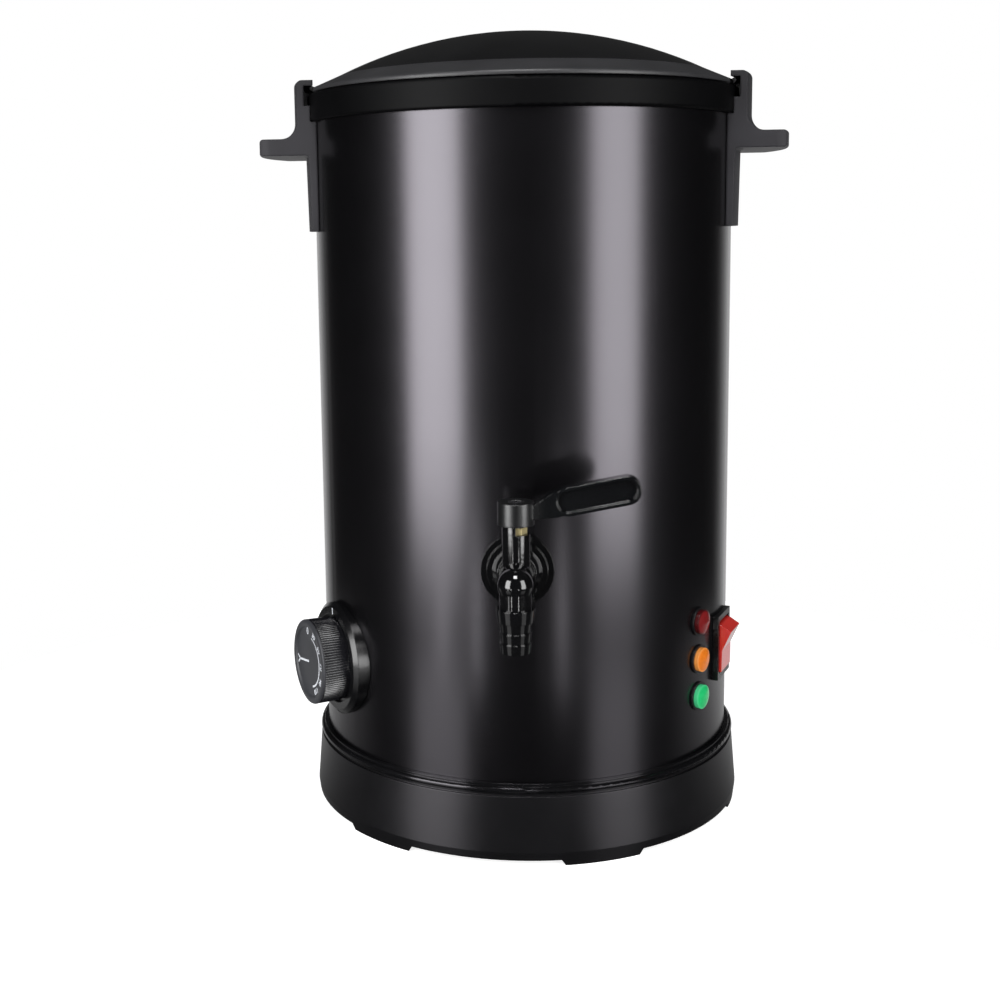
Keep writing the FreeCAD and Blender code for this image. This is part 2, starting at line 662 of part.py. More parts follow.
def rounded(body, radius, points):
    """Rounds the circular edges at the given (radius, level) places."""
    solid = body.Tip
    edges = circles(solid, points)
    fillet = body.newObject("PartDesign::Fillet", "Rounded")
    fillet.Base = (solid, edges)
    fillet.setExpression("Radius", bound(radius))
    doc.recompute()
    return body


def ring(inner, outer, low, high):
    return [(inner, low), (outer, low), (outer, high), (inner, high)]


def pipe(name, corners, radius):
    """A tube along straight runs joined by tangent arcs."""
    bend = size("wire_bend")
    edges = []
    start = corners[0]
    for before, corner, after in zip(corners, corners[1:], corners[2:]):
        back = (before - corner).normalize()
        ahead = (after - corner).normalize()
        half = back.getAngle(ahead) / 2
        trim = bend / math.tan(half)
        middle = corner + (back + ahead).normalize() * (bend / math.sin(half) - bend)
        entry = corner + back * trim
        leave = corner + ahead * trim
        edges.append(Part.LineSegment(start, entry).toShape())
        edges.append(Part.Arc(entry, middle, leave).toShape())
        start = leave
    edges.append(Part.LineSegment(start, corners[-1]).toShape())
    path = Part.Wire(edges)
    face = Part.Circle(corners[0], corners[1] - corners[0], size(radius)).toShape()
    tube = doc.addObject("Part::Feature", name)
    tube.Shape = path.makePipeShell([Part.Wire([face])], True, True)
    return tube


# ---------------------------------------------------------------- base

def base_ring():
    inside = "waist_radius - base_wall"
    skirt = "flare_radius - base_wall"
    tucked = "body_radius + seat_gap"
    points = [
        ("foot_radius - base_wall", "0"),
        ("foot_radius", "0"),
        ("flare_radius", "flare_level"),
        ("waist_radius", "waist_level"),
        ("groove_radius", "waist_level"),
        ("groove_radius", "bead_low"),
        ("bead_radius", "bead_low"),
        ("bead_radius", "bead_high"),
        ("lip_radius", "bead_high"),
        ("lip_radius", "base_height"),
        (tucked, "base_height"),
        (tucked, "shell_foot"),
        ("ledge_radius", "shell_foot"),
        ("ledge_radius", "shell_foot - ledge_wall"),
        (inside, "shell_foot - ledge_wall"),
        (skirt, "flare_level"),
    ]
    body = revolved("BaseTurned", points)
    bend = "min(bead_radius - groove_radius; (bead_high - bead_low) / 2) - round_spare"
    rounded(body, bend, [("bead_radius", "bead_low"), ("bead_radius", "bead_high")])
    low = "plate_level + plate_wall"
    rise = f"shell_foot - ledge_wall - ({low}) + overlap"
    bosses = [rod("boss_radius", rise, upright(a, "boss_ring", low)) for a in boss_azimuths()]
    holes = [boss_hole(a, low, "bottom_grip + run_gap") for a in boss_azimuths()]
    notches = [notch(k) for k in range(int(size("notch_count")))]
    whole = cut(fuse(body, *bosses), *holes, *notches)
    node("base_ring", whole)


def boss_azimuths():
    count = int(size("boss_count"))
    return [size("notch_azimuth + boss_turn") + 360 * k / count for k in range(count)]


def boss_hole(azimuth, low, depth):
    return rod("small_screw + run_gap", depth, upright(azimuth, "boss_ring", low))


def notch(number):
    """The gap between two feet: a flat-topped wedge that runs out through the wall."""
    half = "notch_width / 2"
    points = [
        (f"-({half})", "0 - past"),
        (half, "0 - past"),
        (f"{half} - notch_slope", "notch_height"),
        (f"notch_slope - {half}", "notch_height"),
    ]
    wedge = padded("Notch", "XZ_Plane", points, "flare_radius")
    turn = size("notch_azimuth") + 360 * number / size("notch_count")
    wedge.Placement = upright(turn, "flare_radius", 0)
    return wedge


def bottom_plate():
    edge = "foot_radius - base_wall - hole_gap"
    disc = rod(edge, "plate_wall", upright(0, 0, "plate_level"))
    start = "plate_level - past"
    through = "plate_wall + 2 * past"
    count = int(size("vent_count"))
    vents = [block("vent_width", "vent_length", through, upright(360 * k / count, "vent_ring", start))
             for k in range(count)]
    holes = [boss_hole(a, start, through) for a in boss_azimuths()]
    middle = rod("stud_radius + hole_gap", through, upright(0, 0, start))
    node("bottom_plate", cut(disc, *vents, *holes, middle))


def bottom_screws():
    screws = []
    for a in boss_azimuths():
        head = rod("small_head", "head_thick", upright(a, "boss_ring", "plate_level - head_thick"))
        shank = rod("small_screw", "plate_wall + bottom_grip", upright(a, "boss_ring", "plate_level"))
        screws.append(fuse(head, shank))
    node("bottom_screws", group(*screws))


# ---------------------------------------------------------------- shell and pot

def outer_shell():
    wall = ring("body_radius - shell_wall", "body_radius", "shell_foot", "shell_top")
    start = "body_radius - drill_depth"
    length = "2 * drill_depth"
    tools = [
        rod("tap_thread + hole_gap", length, outward(0, start, "tap_level")),
        rod("bush_radius + hole_gap", length, outward("knob_azimuth", start, "knob_level")),
        block("frame_width + 2 * hole_gap", "frame_height + 2 * hole_gap", length,
              outward("switch_azimuth", start, "switch_level")),
        block("inlet_body_width + 2 * hole_gap", "inlet_body_height + 2 * hole_gap", length,
              outward(180, start, "inlet_level")),
    ]
    for colour in COLOURS:
        lamp_spot = at_lamp(f"{colour}_level", start)
        tools.append(rod("lens_radius + barrel_wall + hole_gap", length, lamp_spot))
    for side in SIDES:
        dial_spot = at_knob(start, f"{side} * dial_screw_half")
        inlet_spot = at_inlet(start, 0, f"{side} * inlet_screw_half")
        tools.append(rod("small_screw + run_gap", length, dial_spot))
        tools.append(rod("small_screw + run_gap", length, inlet_spot))
        for azimuth in HANDLE_AZIMUTHS:
            tools.append(rod("handle_thread + run_gap", length, at_handle(azimuth, start, side)))
    node("outer_shell", cut(revolved("ShellTurned", wall), *tools))


def top_collar():
    tucked = "body_radius + seat_gap"
    throat = "pot_radius + hole_gap"
    recess = "flange_reach + hole_gap"
    points = [
        (tucked, "collar_low"),
        ("collar_radius", "collar_low"),
        ("collar_radius", "collar_high"),
        (recess, "collar_high"),
        (recess, "shelf_level"),
        (throat, "shelf_level"),
        (throat, "shell_top"),
        (tucked, "shell_top"),
    ]
    body = revolved("CollarTurned", points)
    rounded(body, "collar_round", [("collar_radius", "collar_low"), ("collar_radius", "collar_high")])
    node("top_collar", body)


def inner_pot():
    lip = "shelf_level + pot_wall"
    points = [
        ("0", "pot_floor"),
        ("pot_radius", "pot_floor"),
        ("pot_radius", "shelf_level"),
        ("flange_reach", "shelf_level"),
        ("flange_reach", lip),
        ("pot_radius - pot_wall", lip),
        ("pot_radius - pot_wall", "pot_floor + pot_wall"),
        ("0", "pot_floor + pot_wall"),
    ]
    body = revolved("PotTurned", points)
    rounded(body, "pot_round", [("pot_radius", "pot_floor")])
    rounded(body, "pot_round - pot_wall", [("pot_radius - pot_wall", "pot_floor + pot_wall")])
    hole = tap_line("tap_thread + hole_gap", "tail_start", "body_radius - tail_start")
    node("inner_pot", cut(body, hole))


def pot_insulation():
    inner = "pot_radius + wool_gap"
    outer = "body_radius - shell_wall - wool_gap"
    body = revolved("WoolTurned", ring(inner, outer, "wool_low", "wool_high"))
    hole = tap_line("tap_thread + wool_clear", "tail_start", "body_radius - tail_start")
    node("pot_insulation", cut(body, hole))


# ---------------------------------------------------------------- heater

def element_level():
    return "pot_floor - heater_thick"


def heater_plate():
    disc = rod("heater_radius", "heater_thick", upright(0, 0, element_level()))
    groove = primitive("Torus", upright(0, 0, element_level()),
                       Radius1="element_ring", Radius2="element_radius + run_gap")
    tap_hole = rod("stud_radius + run_gap", "stud_bite", upright(0, 0, element_level()))
    node("heater_plate", cut(disc, groove, tap_hole))


def heater_element():
    """A tube bent to an open ring, with an end pin down at each end of the ring."""
    loop = primitive("Torus", upright(0, 0, element_level()),
                     Radius1="element_ring", Radius2="element_radius", Angle3="element_sweep")
    pins = [rod("cold_pin", "cold_drop", at_pin(angle, pin_end())) for angle in pin_angles()]
    node("heater_element", fuse(loop, *pins))


def pin_angles():
    return (0, "element_sweep")


def pin_end():
    return f"{element_level()} - cold_drop"


def at_pin(angle, level):
    """Local Z up, on the line of one of the element's end pins."""
    return moved(turned(angle), "element_ring", 0, level)


def heat_shield():
    top = "shield_level + shield_wall"
    points = [
        ("stud_radius + hole_gap", "shield_level"),
        ("shield_radius", "shield_level"),
        ("shield_radius", "shield_level + shield_rim"),
        ("shield_radius - shield_wall", "shield_level + shield_rim"),
        ("shield_radius - shield_wall", top),
        ("stud_radius + hole_gap", top),
    ]
    dish = revolved("ShieldTurned", points)
    start = "shield_level - past"
    through = "shield_wall + 2 * past"
    passages = [rod("cold_pin + cold_room", through, at_pin(angle, start)) for angle in pin_angles()]
    node("heat_shield", cut(dish, *passages))


def centre_stud():
    length = f"{element_level()} + stud_bite - run_gap - stud_foot"
    node("centre_stud", rod("stud_radius", length, upright(0, 0, "stud_foot")))


def stud_nuts():
    """One nut under the bottom plate and one on each side of the heat shield."""
    feet = ("plate_level - nut_thick", "shield_level - nut_thick", "shield_level + shield_wall")
    nuts = []
    for foot in feet:
        nut = hexagon("nut_flats", "nut_thick", upright(0, 0, foot))
        nuts.append(cut(nut, rod("stud_radius + run_gap", "nut_thick", upright(0, 0, foot))))
    node("stud_nuts", group(*nuts))


def thermal_cutout():
    low = f"{element_level()} - cutout_thick"
    can = rod("cutout_radius", "cutout_thick", upright("cutout_azimuth", "cutout_ring", low))
    foot = upright("cutout_azimuth", "cutout_ring", f"{low} - blade_length")
    tongues = [blade(moved(foot, f"{side} * cutout_radius / 2")) for side in SIDES]
    node("thermal_cutout", fuse(can, *tongues))


# ---------------------------------------------------------------- lid

def lid_seal():
    low = "shelf_level + pot_wall"
    inner = "pot_radius - pot_wall + skirt_gap"
    outer = "flange_reach - skirt_gap"
    node("lid_seal", revolved("SealTurned", ring(inner, outer, low, f"{low} + seal_thick")))


def lid_face():
    return "shelf_level + pot_wall + seal_thick"


def lid():
    skirt = "pot_radius - pot_wall - skirt_gap"
    inner = f"{skirt} - lid_wall"
    points = [
        (inner, f"{lid_face()} - skirt_drop"),
        (skirt, f"{lid_face()} - skirt_drop"),
        (skirt, lid_face()),
        ("lid_radius", lid_face()),
        ("lid_radius", "lid_edge"),
        ("dome_radius", "dome_foot", "dome"),
        ("0", "dome_top"),
        ("0", "dome_top - lid_wall", "dome"),
        (inner, "dome_foot - lid_wall"),
    ]
    body = revolved("LidTurned", points)
    rounded(body, "lid_edge_round", [("lid_radius", "lid_edge")])
    under_dome = [("0", "dome_foot"), ("dome_radius", "dome_foot", "dome"), ("0", "dome_top")]
    dome = revolved("DomeSolid", under_dome)
    half_way = "(grip_bar + grip_width) / 2"
    cup_width = "grip_bar + 2 * grip_width + 2 * grip_wall"
    cup = block("grip_length + 2 * grip_wall", cup_width, "dome_top - grip_floor + grip_wall",
                upright(0, 0, "grip_floor - grip_wall"))
    pockets = [block("grip_length", "grip_width", "dome_top - grip_floor + past",
                     upright(0, f"{side} * {half_way}", "grip_floor")) for side in SIDES]
    rim = [rim_notch(side) for side in SIDES]
    node("lid", cut(fuse(body, common(cup, dome)), *pockets, *rim))


def rim_notch(side):
    """Takes the lid's edge back at a handle, so that the hook passes it."""
    low = upright(0, 0, f"{lid_face()} - past")
    tall = "dome_foot - shelf_level"
    corridor = block("lid_radius", "2 * notch_half", tall, moved(low, f"{side} * lid_radius"))
    keep = rod("lid_radius - notch_depth", tall, low)
    return cut(corridor, keep)


# ---------------------------------------------------------------- handles

def handle_profile():
    inner = "body_radius + seat_gap"
    leg = f"{inner} + leg_wall"
    beside_collar = "collar_radius + seat_gap"
    under_collar = "collar_low - seat_gap"
    post = "post_inner + post_wall"
    return [
        (inner, "handle_foot"),
        (leg, "handle_foot"),
        (f"{leg} + leg_taper", "tab_low"),
        ("tab_reach", "tab_low"),
        ("tab_reach", "tab_high"),
        (post, "tab_high"),
        (post, "hook_top"),
        ("hook_reach", "hook_top"),
        ("hook_reach", "hook_under"),
        ("post_inner", "hook_under"),
        ("post_inner", "slot_floor"),
        (beside_collar, "slot_floor"),
        (beside_collar, under_collar),
        (inner, under_collar),
    ]


def handle(name, azimuth):
    """Turned about the body axis, then trimmed to a plan with rounded corners."""
    points = handle_profile()
    body = revolved("HandleTurned", points, "handle_sweep")
    body.Placement = turned(f"{azimuth} - 90 - handle_sweep / 2")
    post = "post_inner + post_wall"
    rounded(body, "crook_round", [(post, "tab_high")])
    rounded(body, "crown_round", [(post, "hook_top")])
    rounded(body, "tab_edge", [("tab_reach", "tab_low"), ("tab_reach", "tab_high"),
                               ("body_radius + seat_gap + leg_wall + leg_taper", "tab_low")])
    depth = "tab_reach - body_radius / 2"
    plan = block("2 * handle_half", depth, "hook_top",
                 upright(azimuth, f"tab_reach - ({depth}) / 2", "handle_foot - past"))
    soft = soft_corners(plan, azimuth)
    holes = [rod("handle_thread + run_gap", "handle_screw_grip + run_gap",
                 at_handle(azimuth, handle_screw_start(), side)) for side in SIDES]
    node(name, cut(common(body, soft), *holes))


def at_handle(azimuth, reach, side):
    """The line of one of a handle's two screws."""
    return outward(azimuth, reach, "handle_screw_level", f"{side} * handle_screw_half")


def handle_screw_start():
    """The head's outer edge meets the inside of the shell."""
    return "sqrt((body_radius - shell_wall)^2 - (handle_screw_half + handle_head)^2) - head_thick"


def soft_corners(plan, azimuth):
    """Rounds the two upright edges of the plan box that lie furthest out."""
    doc.recompute()
    aim = turned(azimuth).multVec(Vector(0, -1, 0))
    chosen = []
    for number, edge in enumerate(plan.Shape.Edges, start=1):
        run = edge.Vertexes[1].Point - edge.Vertexes[0].Point
        stands = run.cross(Vector(0, 0, 1)).Length < size("past")
        if stands and edge.CenterOfMass.dot(aim) > size("tab_reach - past"):
            chosen.append((number, size("tab_round"), size("tab_round")))
    soft = doc.addObject("Part::Fillet", "SoftPlan")
    soft.Base = plan
    soft.Edges = chosen
    return soft


def handle_screws():
    """Pan heads inside the shell, threads out into the thick part of each tab."""
    screws = []
    for azimuth in HANDLE_AZIMUTHS:
        for side in SIDES:
            spot = at_handle(azimuth, handle_screw_start(), side)
            head = rod("handle_head", "head_thick", spot)
            shank = rod("handle_thread", "handle_screw_grip", spot)
            screws.append(fuse(head, shank))
    node("handle_screws", group(*screws))


# ---------------------------------------------------------------- tap

def tap_line(radius, start, length):
    return rod(radius, length, outward(0, start, "tap_level"))


def tap_post(radius, low, high, reach="stem_reach"):
    return rod(radius, f"({high}) - ({low})", upright(0, reach, low))


def tap_body():
    front = "flange_seat + 2 * flange_step"
    chamber = "ball_radius - seat_wrap + seat_thick"
    solid = [
        tap_line("tap_thread", "tail_start", "flange_seat - tail_start"),
        tap_line("tap_flange", "flange_seat", "flange_step"),
        tap_line("step_radius", "flange_seat + flange_step", "flange_step"),
        cone("cone_radius", "cone_tip", "cone_length", outward(0, front, "tap_level")),
        tap_line("barrel_radius", "flange_seat", "spout_reach - flange_seat"),
        ball("barrel_radius", outward(0, "spout_reach", "tap_level")),
        tap_post("spout_radius", "spout_foot", "tap_level", "spout_reach"),
        tap_post("neck_radius", "tap_level", "neck_top"),
        stop_wall(),
    ]
    mouth = "spout_foot - past"
    hollow = [
        tap_line("tap_bore", "tail_start - past", "spout_reach - tail_start + past"),
        ball("tap_bore", outward(0, "spout_reach", "tap_level")),
        tap_post("tap_bore", mouth, "tap_level", "spout_reach"),
        tap_post("spigot_radius + run_gap", mouth, "spout_foot + spigot_length", "spout_reach"),
        tap_line("seat_radius + run_gap", f"stem_reach - ({chamber})", f"2 * ({chamber})"),
        tap_post("stem_radius + run_gap", "tap_level", "neck_top + past"),
    ]
    node("tap_body", cut(fuse(*solid), *hollow))


def stop_wall():
    """Half a collar on top of the neck, beside the gland nut and away from the lever."""
    low = "neck_top - overlap"
    high = "hub_low - hole_gap"
    collar = tap_post("neck_radius", low, high)
    nut_room = tap_post("gland_flats / sqrt(3) + seat_gap", low, high)
    foot = moved(upright(0, "stem_reach", low), "neck_radius / 2")
    lever_side = block("neck_radius", "2 * neck_radius", f"{high} - ({low})", foot)
    return cut(collar, nut_room, lever_side)


def tap_seals():
    """A shaped rubber washer under the flange and one inside the pot."""
    far = "flange_seat - washer_room"
    outer = cut(tap_line("tap_flange - washer_inset", far, "washer_room"),
                tap_line("tap_thread + run_gap", far, "washer_room"), shell_form())
    node("tap_outer_washer", outer)
    pot_bore = rod("pot_radius - pot_wall - run_gap", "shell_top")
    inner = cut(tap_line("inner_washer", "washer_front", "washer_room"),
                tap_line("tap_thread + run_gap", "washer_front", "washer_room"))
    node("tap_inner_washer", common(inner, pot_bore))


def shell_form():
    """What a piece on the shell is hollowed with, so that its back follows the shell."""
    return rod("body_radius + run_gap", "shell_top")


def tap_locknut():
    start = "washer_front - locknut_thick"
    nut = hexagon("locknut_flats", "locknut_thick", outward(0, start, "tap_level"))
    node("tap_locknut", cut(nut, tap_line("tap_thread + run_gap", start, "locknut_thick")))


def ball_seats():
    """Two rings that hug the ball, one on each side of it."""
    seats = []
    gap = "ball_radius - seat_wrap"
    for start in (f"stem_reach - ({gap}) - seat_thick", f"stem_reach + {gap}"):
        washer = tap_line("seat_radius", start, "seat_thick")
        bore = tap_line("ball_bore + run_gap", start, "seat_thick")
        hug = ball("ball_radius + ball_gap", outward(0, "stem_reach", "tap_level"))
        seats.append(cut(washer, bore, hug))
    node("ball_seats", group(*seats))


def tap_ball():
    """Bored across the flow at rest; its seam is turned away from the bore."""
    middle = upright(0, "stem_reach", "tap_level")
    sphere = ball("ball_radius", middle.multiply(turned("seam_turn")))
    side = moved(middle, "0 - ball_radius - past")
    bore = rod("ball_bore", "2 * (ball_radius + past)", side.multiply(lying()))
    top = "tap_level + ball_radius"
    socket = tap_post("stem_radius + run_gap / 2", f"{top} - stem_bite", f"{top} + past")
    node("tap_ball", cut(sphere, bore, socket))


def tap_stem():
    low = "tap_level + ball_radius - stem_bite"
    top = "hub_high - recess_depth"
    post = tap_post("stem_radius", low, top)
    thread = tap_post("small_screw", f"{top} - screw_hole", top)
    node("tap_stem", cut(post, thread))


def gland_nut():
    nut = hexagon("gland_flats", "gland_thick", upright(0, "stem_reach", "neck_top"))
    node("gland_nut", cut(nut, tap_post("stem_radius + run_gap", "neck_top", "neck_top + gland_thick")))


def tap_lever():
    """Hub, bent arm and a paddle with a long pocket in its front."""
    hub = tap_post("hub_radius", "hub_low", "hub_high")
    middle = "paddle_level - hub_low"
    top = "hub_high - hub_low - recess_depth"
    join = "paddle_start + arm_bite"
    points = [
        ("stem_radius", "arm_low"),
        ("arm_knee", "arm_bend"),
        (join, f"{middle} - paddle_half + arm_inset"),
        (join, f"{middle} + paddle_half"),
        ("arm_brow", f"{middle} + paddle_half - arm_dip"),
        ("hub_radius - past", top),
        ("stem_radius", top),
    ]
    arm = padded("Arm", "XZ_Plane", points, "arm_thick")
    arm.Placement = upright(0, "stem_reach", "hub_low")
    paddle = slot_plate("paddle_half", "arm_thick", "0")
    pocket = slot_plate("paddle_half - paddle_rim", "arm_thick", "pocket_depth - arm_thick")
    bore = tap_post("stem_radius + run_gap / 2", "hub_low", "hub_high")
    recess = tap_post("hub_recess", "hub_high - recess_depth", "hub_high + past")
    node("tap_lever", cut(fuse(hub, arm, paddle), pocket, bore, recess))


def slot_plate(half, thick, shift):
    """A plate with round ends along the tilted paddle, shifted across its thickness."""
    stem = upright(0, "stem_reach", "paddle_level")
    start = moved(stem, "paddle_start", f"{shift} - {thick} / 2")
    place = start.multiply(Placement(Vector(), Rotation(Vector(0, 1, 0), -size("paddle_tilt"))))
    across = Placement(Vector(), Rotation(Vector(1, 0, 0), -90))
    length = "paddle_end - paddle_start"
    tall = f"2 * ({half})"
    bar = primitive("Box", moved(place, 0, 0, f"-({half})"), Length=length, Width=thick, Height=tall)
    ends = [rod(half, thick, moved(place, reach).multiply(across)) for reach in (0, length)]
    return fuse(bar, *ends)


def lever_screw():
    seat = "hub_high - recess_depth"
    top = "hub_high - seat_gap"
    head = tap_post("hub_recess - hole_gap", seat, top)
    shank = tap_post("small_screw - run_gap", f"{seat} - lever_screw_length", seat)
    slot_place = upright(0, "stem_reach", f"{top} - slot_depth")
    slot = block("slot_width", "2 * hub_recess", "slot_depth + past", slot_place)
    node("lever_screw", cut(fuse(head, shank), slot))


def tap_nozzle():
    """A spigot inside the spout, a collar under it and a row of hose barbs."""
    points = [
        ("tap_bore", "spout_foot + spigot_length"),
        ("spigot_radius", "spout_foot + spigot_length"),
        ("spigot_radius", "spout_foot"),
        ("nozzle_wide", "spout_foot"),
        ("nozzle_narrow", "nozzle_nut_low"),
    ]
    for k in range(int(size("barb_count"))):
        points.append(("barb_wide", f"nozzle_nut_low - {k} * barb_pitch"))
        points.append(("barb_narrow", f"nozzle_nut_low - {k + 1} * barb_pitch"))
    points.append(("tap_bore", "nozzle_nut_low - barb_count * barb_pitch"))
    node("tap_nozzle", revolved("NozzleTurned", points), upright(0, "spout_reach", 0))


# ---------------------------------------------------------------- thermostat

def at_knob(reach, along=0, rise=0):
    return outward("knob_azimuth", reach, "knob_level", along, rise)


def dial_plate():
    """The round plate behind the knob, which sits in its well; its back follows the shell."""
    start = "sqrt(body_radius^2 - dial_radius^2) - past"
    deep = "body_radius - drill_depth"
    through = "2 * drill_depth"
    ledge = "dial_front - dial_step"
    wide = rod("dial_radius", f"{ledge} - ({start})", at_knob(start))
    step = cone("dial_radius", "dial_radius - dial_chamfer", "dial_step", at_knob(ledge))
    bush = rod("bush_radius + hole_gap", f"bush_front - ({deep})", at_knob(deep))
    shaft = rod("shaft_radius + hole_gap", through, at_knob(deep))
    well = rod("knob_radius + well_gap", "dial_well + past", at_knob("well_floor"))
    screws = []
    for side in SIDES:
        spot = f"{side} * dial_screw_half"
        screws.append(rod("small_screw + run_gap", through, at_knob(deep, spot)))
        screws.append(rod("small_head + run_gap", through, at_knob("well_floor - head_thick", spot)))
    node("dial_plate", cut(fuse(wide, step), shell_form(), well, bush, shaft, *screws))


def dial_screws():
    screws = []
    for side in SIDES:
        spot = f"{side} * dial_screw_half"
        seat = "well_floor - head_thick"
        head = rod("small_head", "head_thick", at_knob(seat, spot))
        shank = rod("small_screw", f"{seat} - dial_screw_end", at_knob("dial_screw_end", spot))
        screws.append(fuse(head, shank))
    node("dial_screws", group(*screws))


def thermostat_body():
    back = "control_front - control_depth"
    case = block("control_width", "control_height", "control_depth", at_knob(back))
    neck = rod("bush_radius", "bush_front - control_front", at_knob("control_front"))
    deep = "shaft_start - past"
    bore = rod("shaft_radius + run_gap", f"bush_front + past - ({deep})", at_knob(deep))
    holes = [rod("small_screw + run_gap", "2 * drill_depth",
                 at_knob("dial_screw_end - run_gap", f"{side} * dial_screw_half")) for side in SIDES]
    node("thermostat_body", cut(fuse(case, neck), bore, *holes))


def thermostat_shaft():
    length = "knob_back + shaft_bite - shaft_start"
    node("thermostat_shaft", rod("shaft_radius", length, at_knob("shaft_start")))


def thermostat_knob():
    """A cap with a hub inside; the face is dished inside a narrow rim."""
    tall = "knob_front - knob_back"
    roof = f"{tall} - knob_dish - knob_wall"
    points = [
        ("0", "shaft_bite + run_gap"),
        ("shaft_radius + run_gap / 2", "shaft_bite + run_gap"),
        ("shaft_radius + run_gap / 2", "hub_inset"),
        ("knob_hub", "hub_inset"),
        ("knob_hub", roof),
        ("knob_radius - knob_wall", roof),
        ("knob_radius - knob_wall", "0"),
        ("knob_radius", "0"),
        ("knob_radius", f"{tall} - knob_edge"),
        ("knob_radius - knob_edge", tall),
        ("dish_radius", tall),
        ("dish_radius - knob_dish", f"{tall} - knob_dish"),
        ("0", f"{tall} - knob_dish"),
    ]
    node("thermostat_knob", revolved("KnobTurned", points), at_knob("knob_back"))


def thermostat_terminals():
    back = "control_front - control_depth - blade_length"
    blades = [blade(at_knob(back, f"{side} * control_blade_half")) for side in SIDES]
    node("thermostat_terminals", group(*blades))


def sensor_place():
    """Local X runs along the bulb, which lies under the pot floor."""
    drop = "pot_floor - bulb_radius - seat_gap"
    return upright("bulb_azimuth", "bulb_ring", drop)


def sensor_capillary():
    """The bulb and the thin tube that joins it to the thermostat."""
    end = moved(sensor_place(), "-bulb_length / 2")
    bulb = rod("bulb_radius", "bulb_length", end.multiply(lying()))
    near = moved(end, "past").Base
    elbow = moved(end, "-capillary_lead").Base
    foot = at_knob("control_front - control_depth / 2", 0, "control_height / 2").Base
    above = Vector(foot.x, foot.y, elbow.z)
    tube = pipe("Capillary", [near, elbow, above, foot], "capillary_radius")
    node("sensor_capillary", fuse(bulb, tube))


def bulb_clip():
    """A strap under the bulb with a lug on each side against the pot."""
    spot = sensor_place()
    side = moved(spot, "-clip_width / 2").multiply(lying())
    sleeve = rod("bulb_radius + run_gap + clip_wall", "clip_width", side)
    hole = rod("bulb_radius + run_gap", "clip_width", side)
    pot = "bulb_radius + seat_gap"
    lugs = block("clip_width", "clip_reach", "clip_wall", moved(spot, 0, 0, f"{pot} - clip_wall"))
    room = block("clip_width", "clip_reach", "clip_reach", moved(spot, 0, 0, pot))
    node("bulb_clip", cut(fuse(sleeve, lugs), hole, room))


# ---------------------------------------------------------------- lamps

def at_lamp(level, reach):
    return outward("lamp_azimuth", reach, level)


def lamp(colour):
    level = f"{colour}_level"
    points = [
        ("0", "0"),
        ("lens_radius", "0"),
        ("lens_radius", "lens_edge - lens_back", "dome"),
        ("0", "lens_front - lens_back"),
    ]
    node(f"lamp_lens_{colour}", revolved("LensTurned", points), at_lamp(level, "lens_back"))
    wide = rod("holder_rim", "holder_front - body_radius + past", at_lamp(level, "body_radius - past"))
    rim = cut(wide, shell_form())
    tube = rod("lens_radius + barrel_wall", "holder_front - holder_back", at_lamp(level, "holder_back"))
    well = rod("lens_radius + run_gap", "holder_front - lens_back + past", at_lamp(level, "lens_back"))
    node(f"lamp_holder_{colour}", cut(fuse(rim, tube), well))


def lamp_nuts():
    nuts = []
    half = "lamp_nut_flats / sqrt(3)"
    start = f"sqrt((body_radius - shell_wall)^2 - ({half})^2) - lamp_nut_thick - run_gap"
    for colour in COLOURS:
        spot = at_lamp(f"{colour}_level", start)
        nut = hexagon("lamp_nut_flats", "lamp_nut_thick", spot)
        hole = rod("lens_radius + barrel_wall + run_gap", "lamp_nut_thick", spot)
        nuts.append(cut(nut, hole))
    node("lamp_nuts", group(*nuts))


def lamp_terminals():
    pins = []
    for colour in COLOURS:
        foot = at_lamp(f"{colour}_level", "holder_back - lamp_pin_length")
        for side in SIDES:
            spot = moved(foot, f"{side} * lamp_pin_half")
            pins.append(block("blade_thick", "lamp_pin_width", "lamp_pin_length", spot))
    node("lamp_terminals", group(*pins))


# ---------------------------------------------------------------- switch

def at_switch(reach, along=0, rise=0):
    return outward("switch_azimuth", reach, "switch_level", along, rise)


def switch_housing():
    """A bezel whose back follows the shell, and a boxed body with the rocker's well."""
    tall = "bezel_front - body_radius + plate_root"
    flat = block("bezel_width", "bezel_height", tall, at_switch("body_radius - plate_root"))
    bezel = cut(flat, shell_form())
    case = block("frame_width", "frame_height", "bezel_front - frame_back", at_switch("frame_back"))
    sweep = "sqrt(rocker_half^2 + rocker_shoulder^2) + hole_gap"
    well = block("rocker_width + 2 * hole_gap", f"2 * ({sweep})", "bezel_front - frame_floor + past",
                 at_switch("frame_floor"))
    pins = pivot_pins("pin_radius + run_gap", "pin_length + run_gap")
    node("switch_housing", cut(fuse(bezel, case), well, *pins))


def pivot_pins(radius, length):
    """Pins on both sides of the rocker, along the shell."""
    starts = ("rocker_width / 2 - overlap", f"-rocker_width / 2 - ({length}) - hole_gap")
    reach = f"{length} + hole_gap + overlap"
    pivot = at_switch("rocker_pivot")
    return [rod(radius, reach, moved(pivot, start).multiply(lying())) for start in starts]


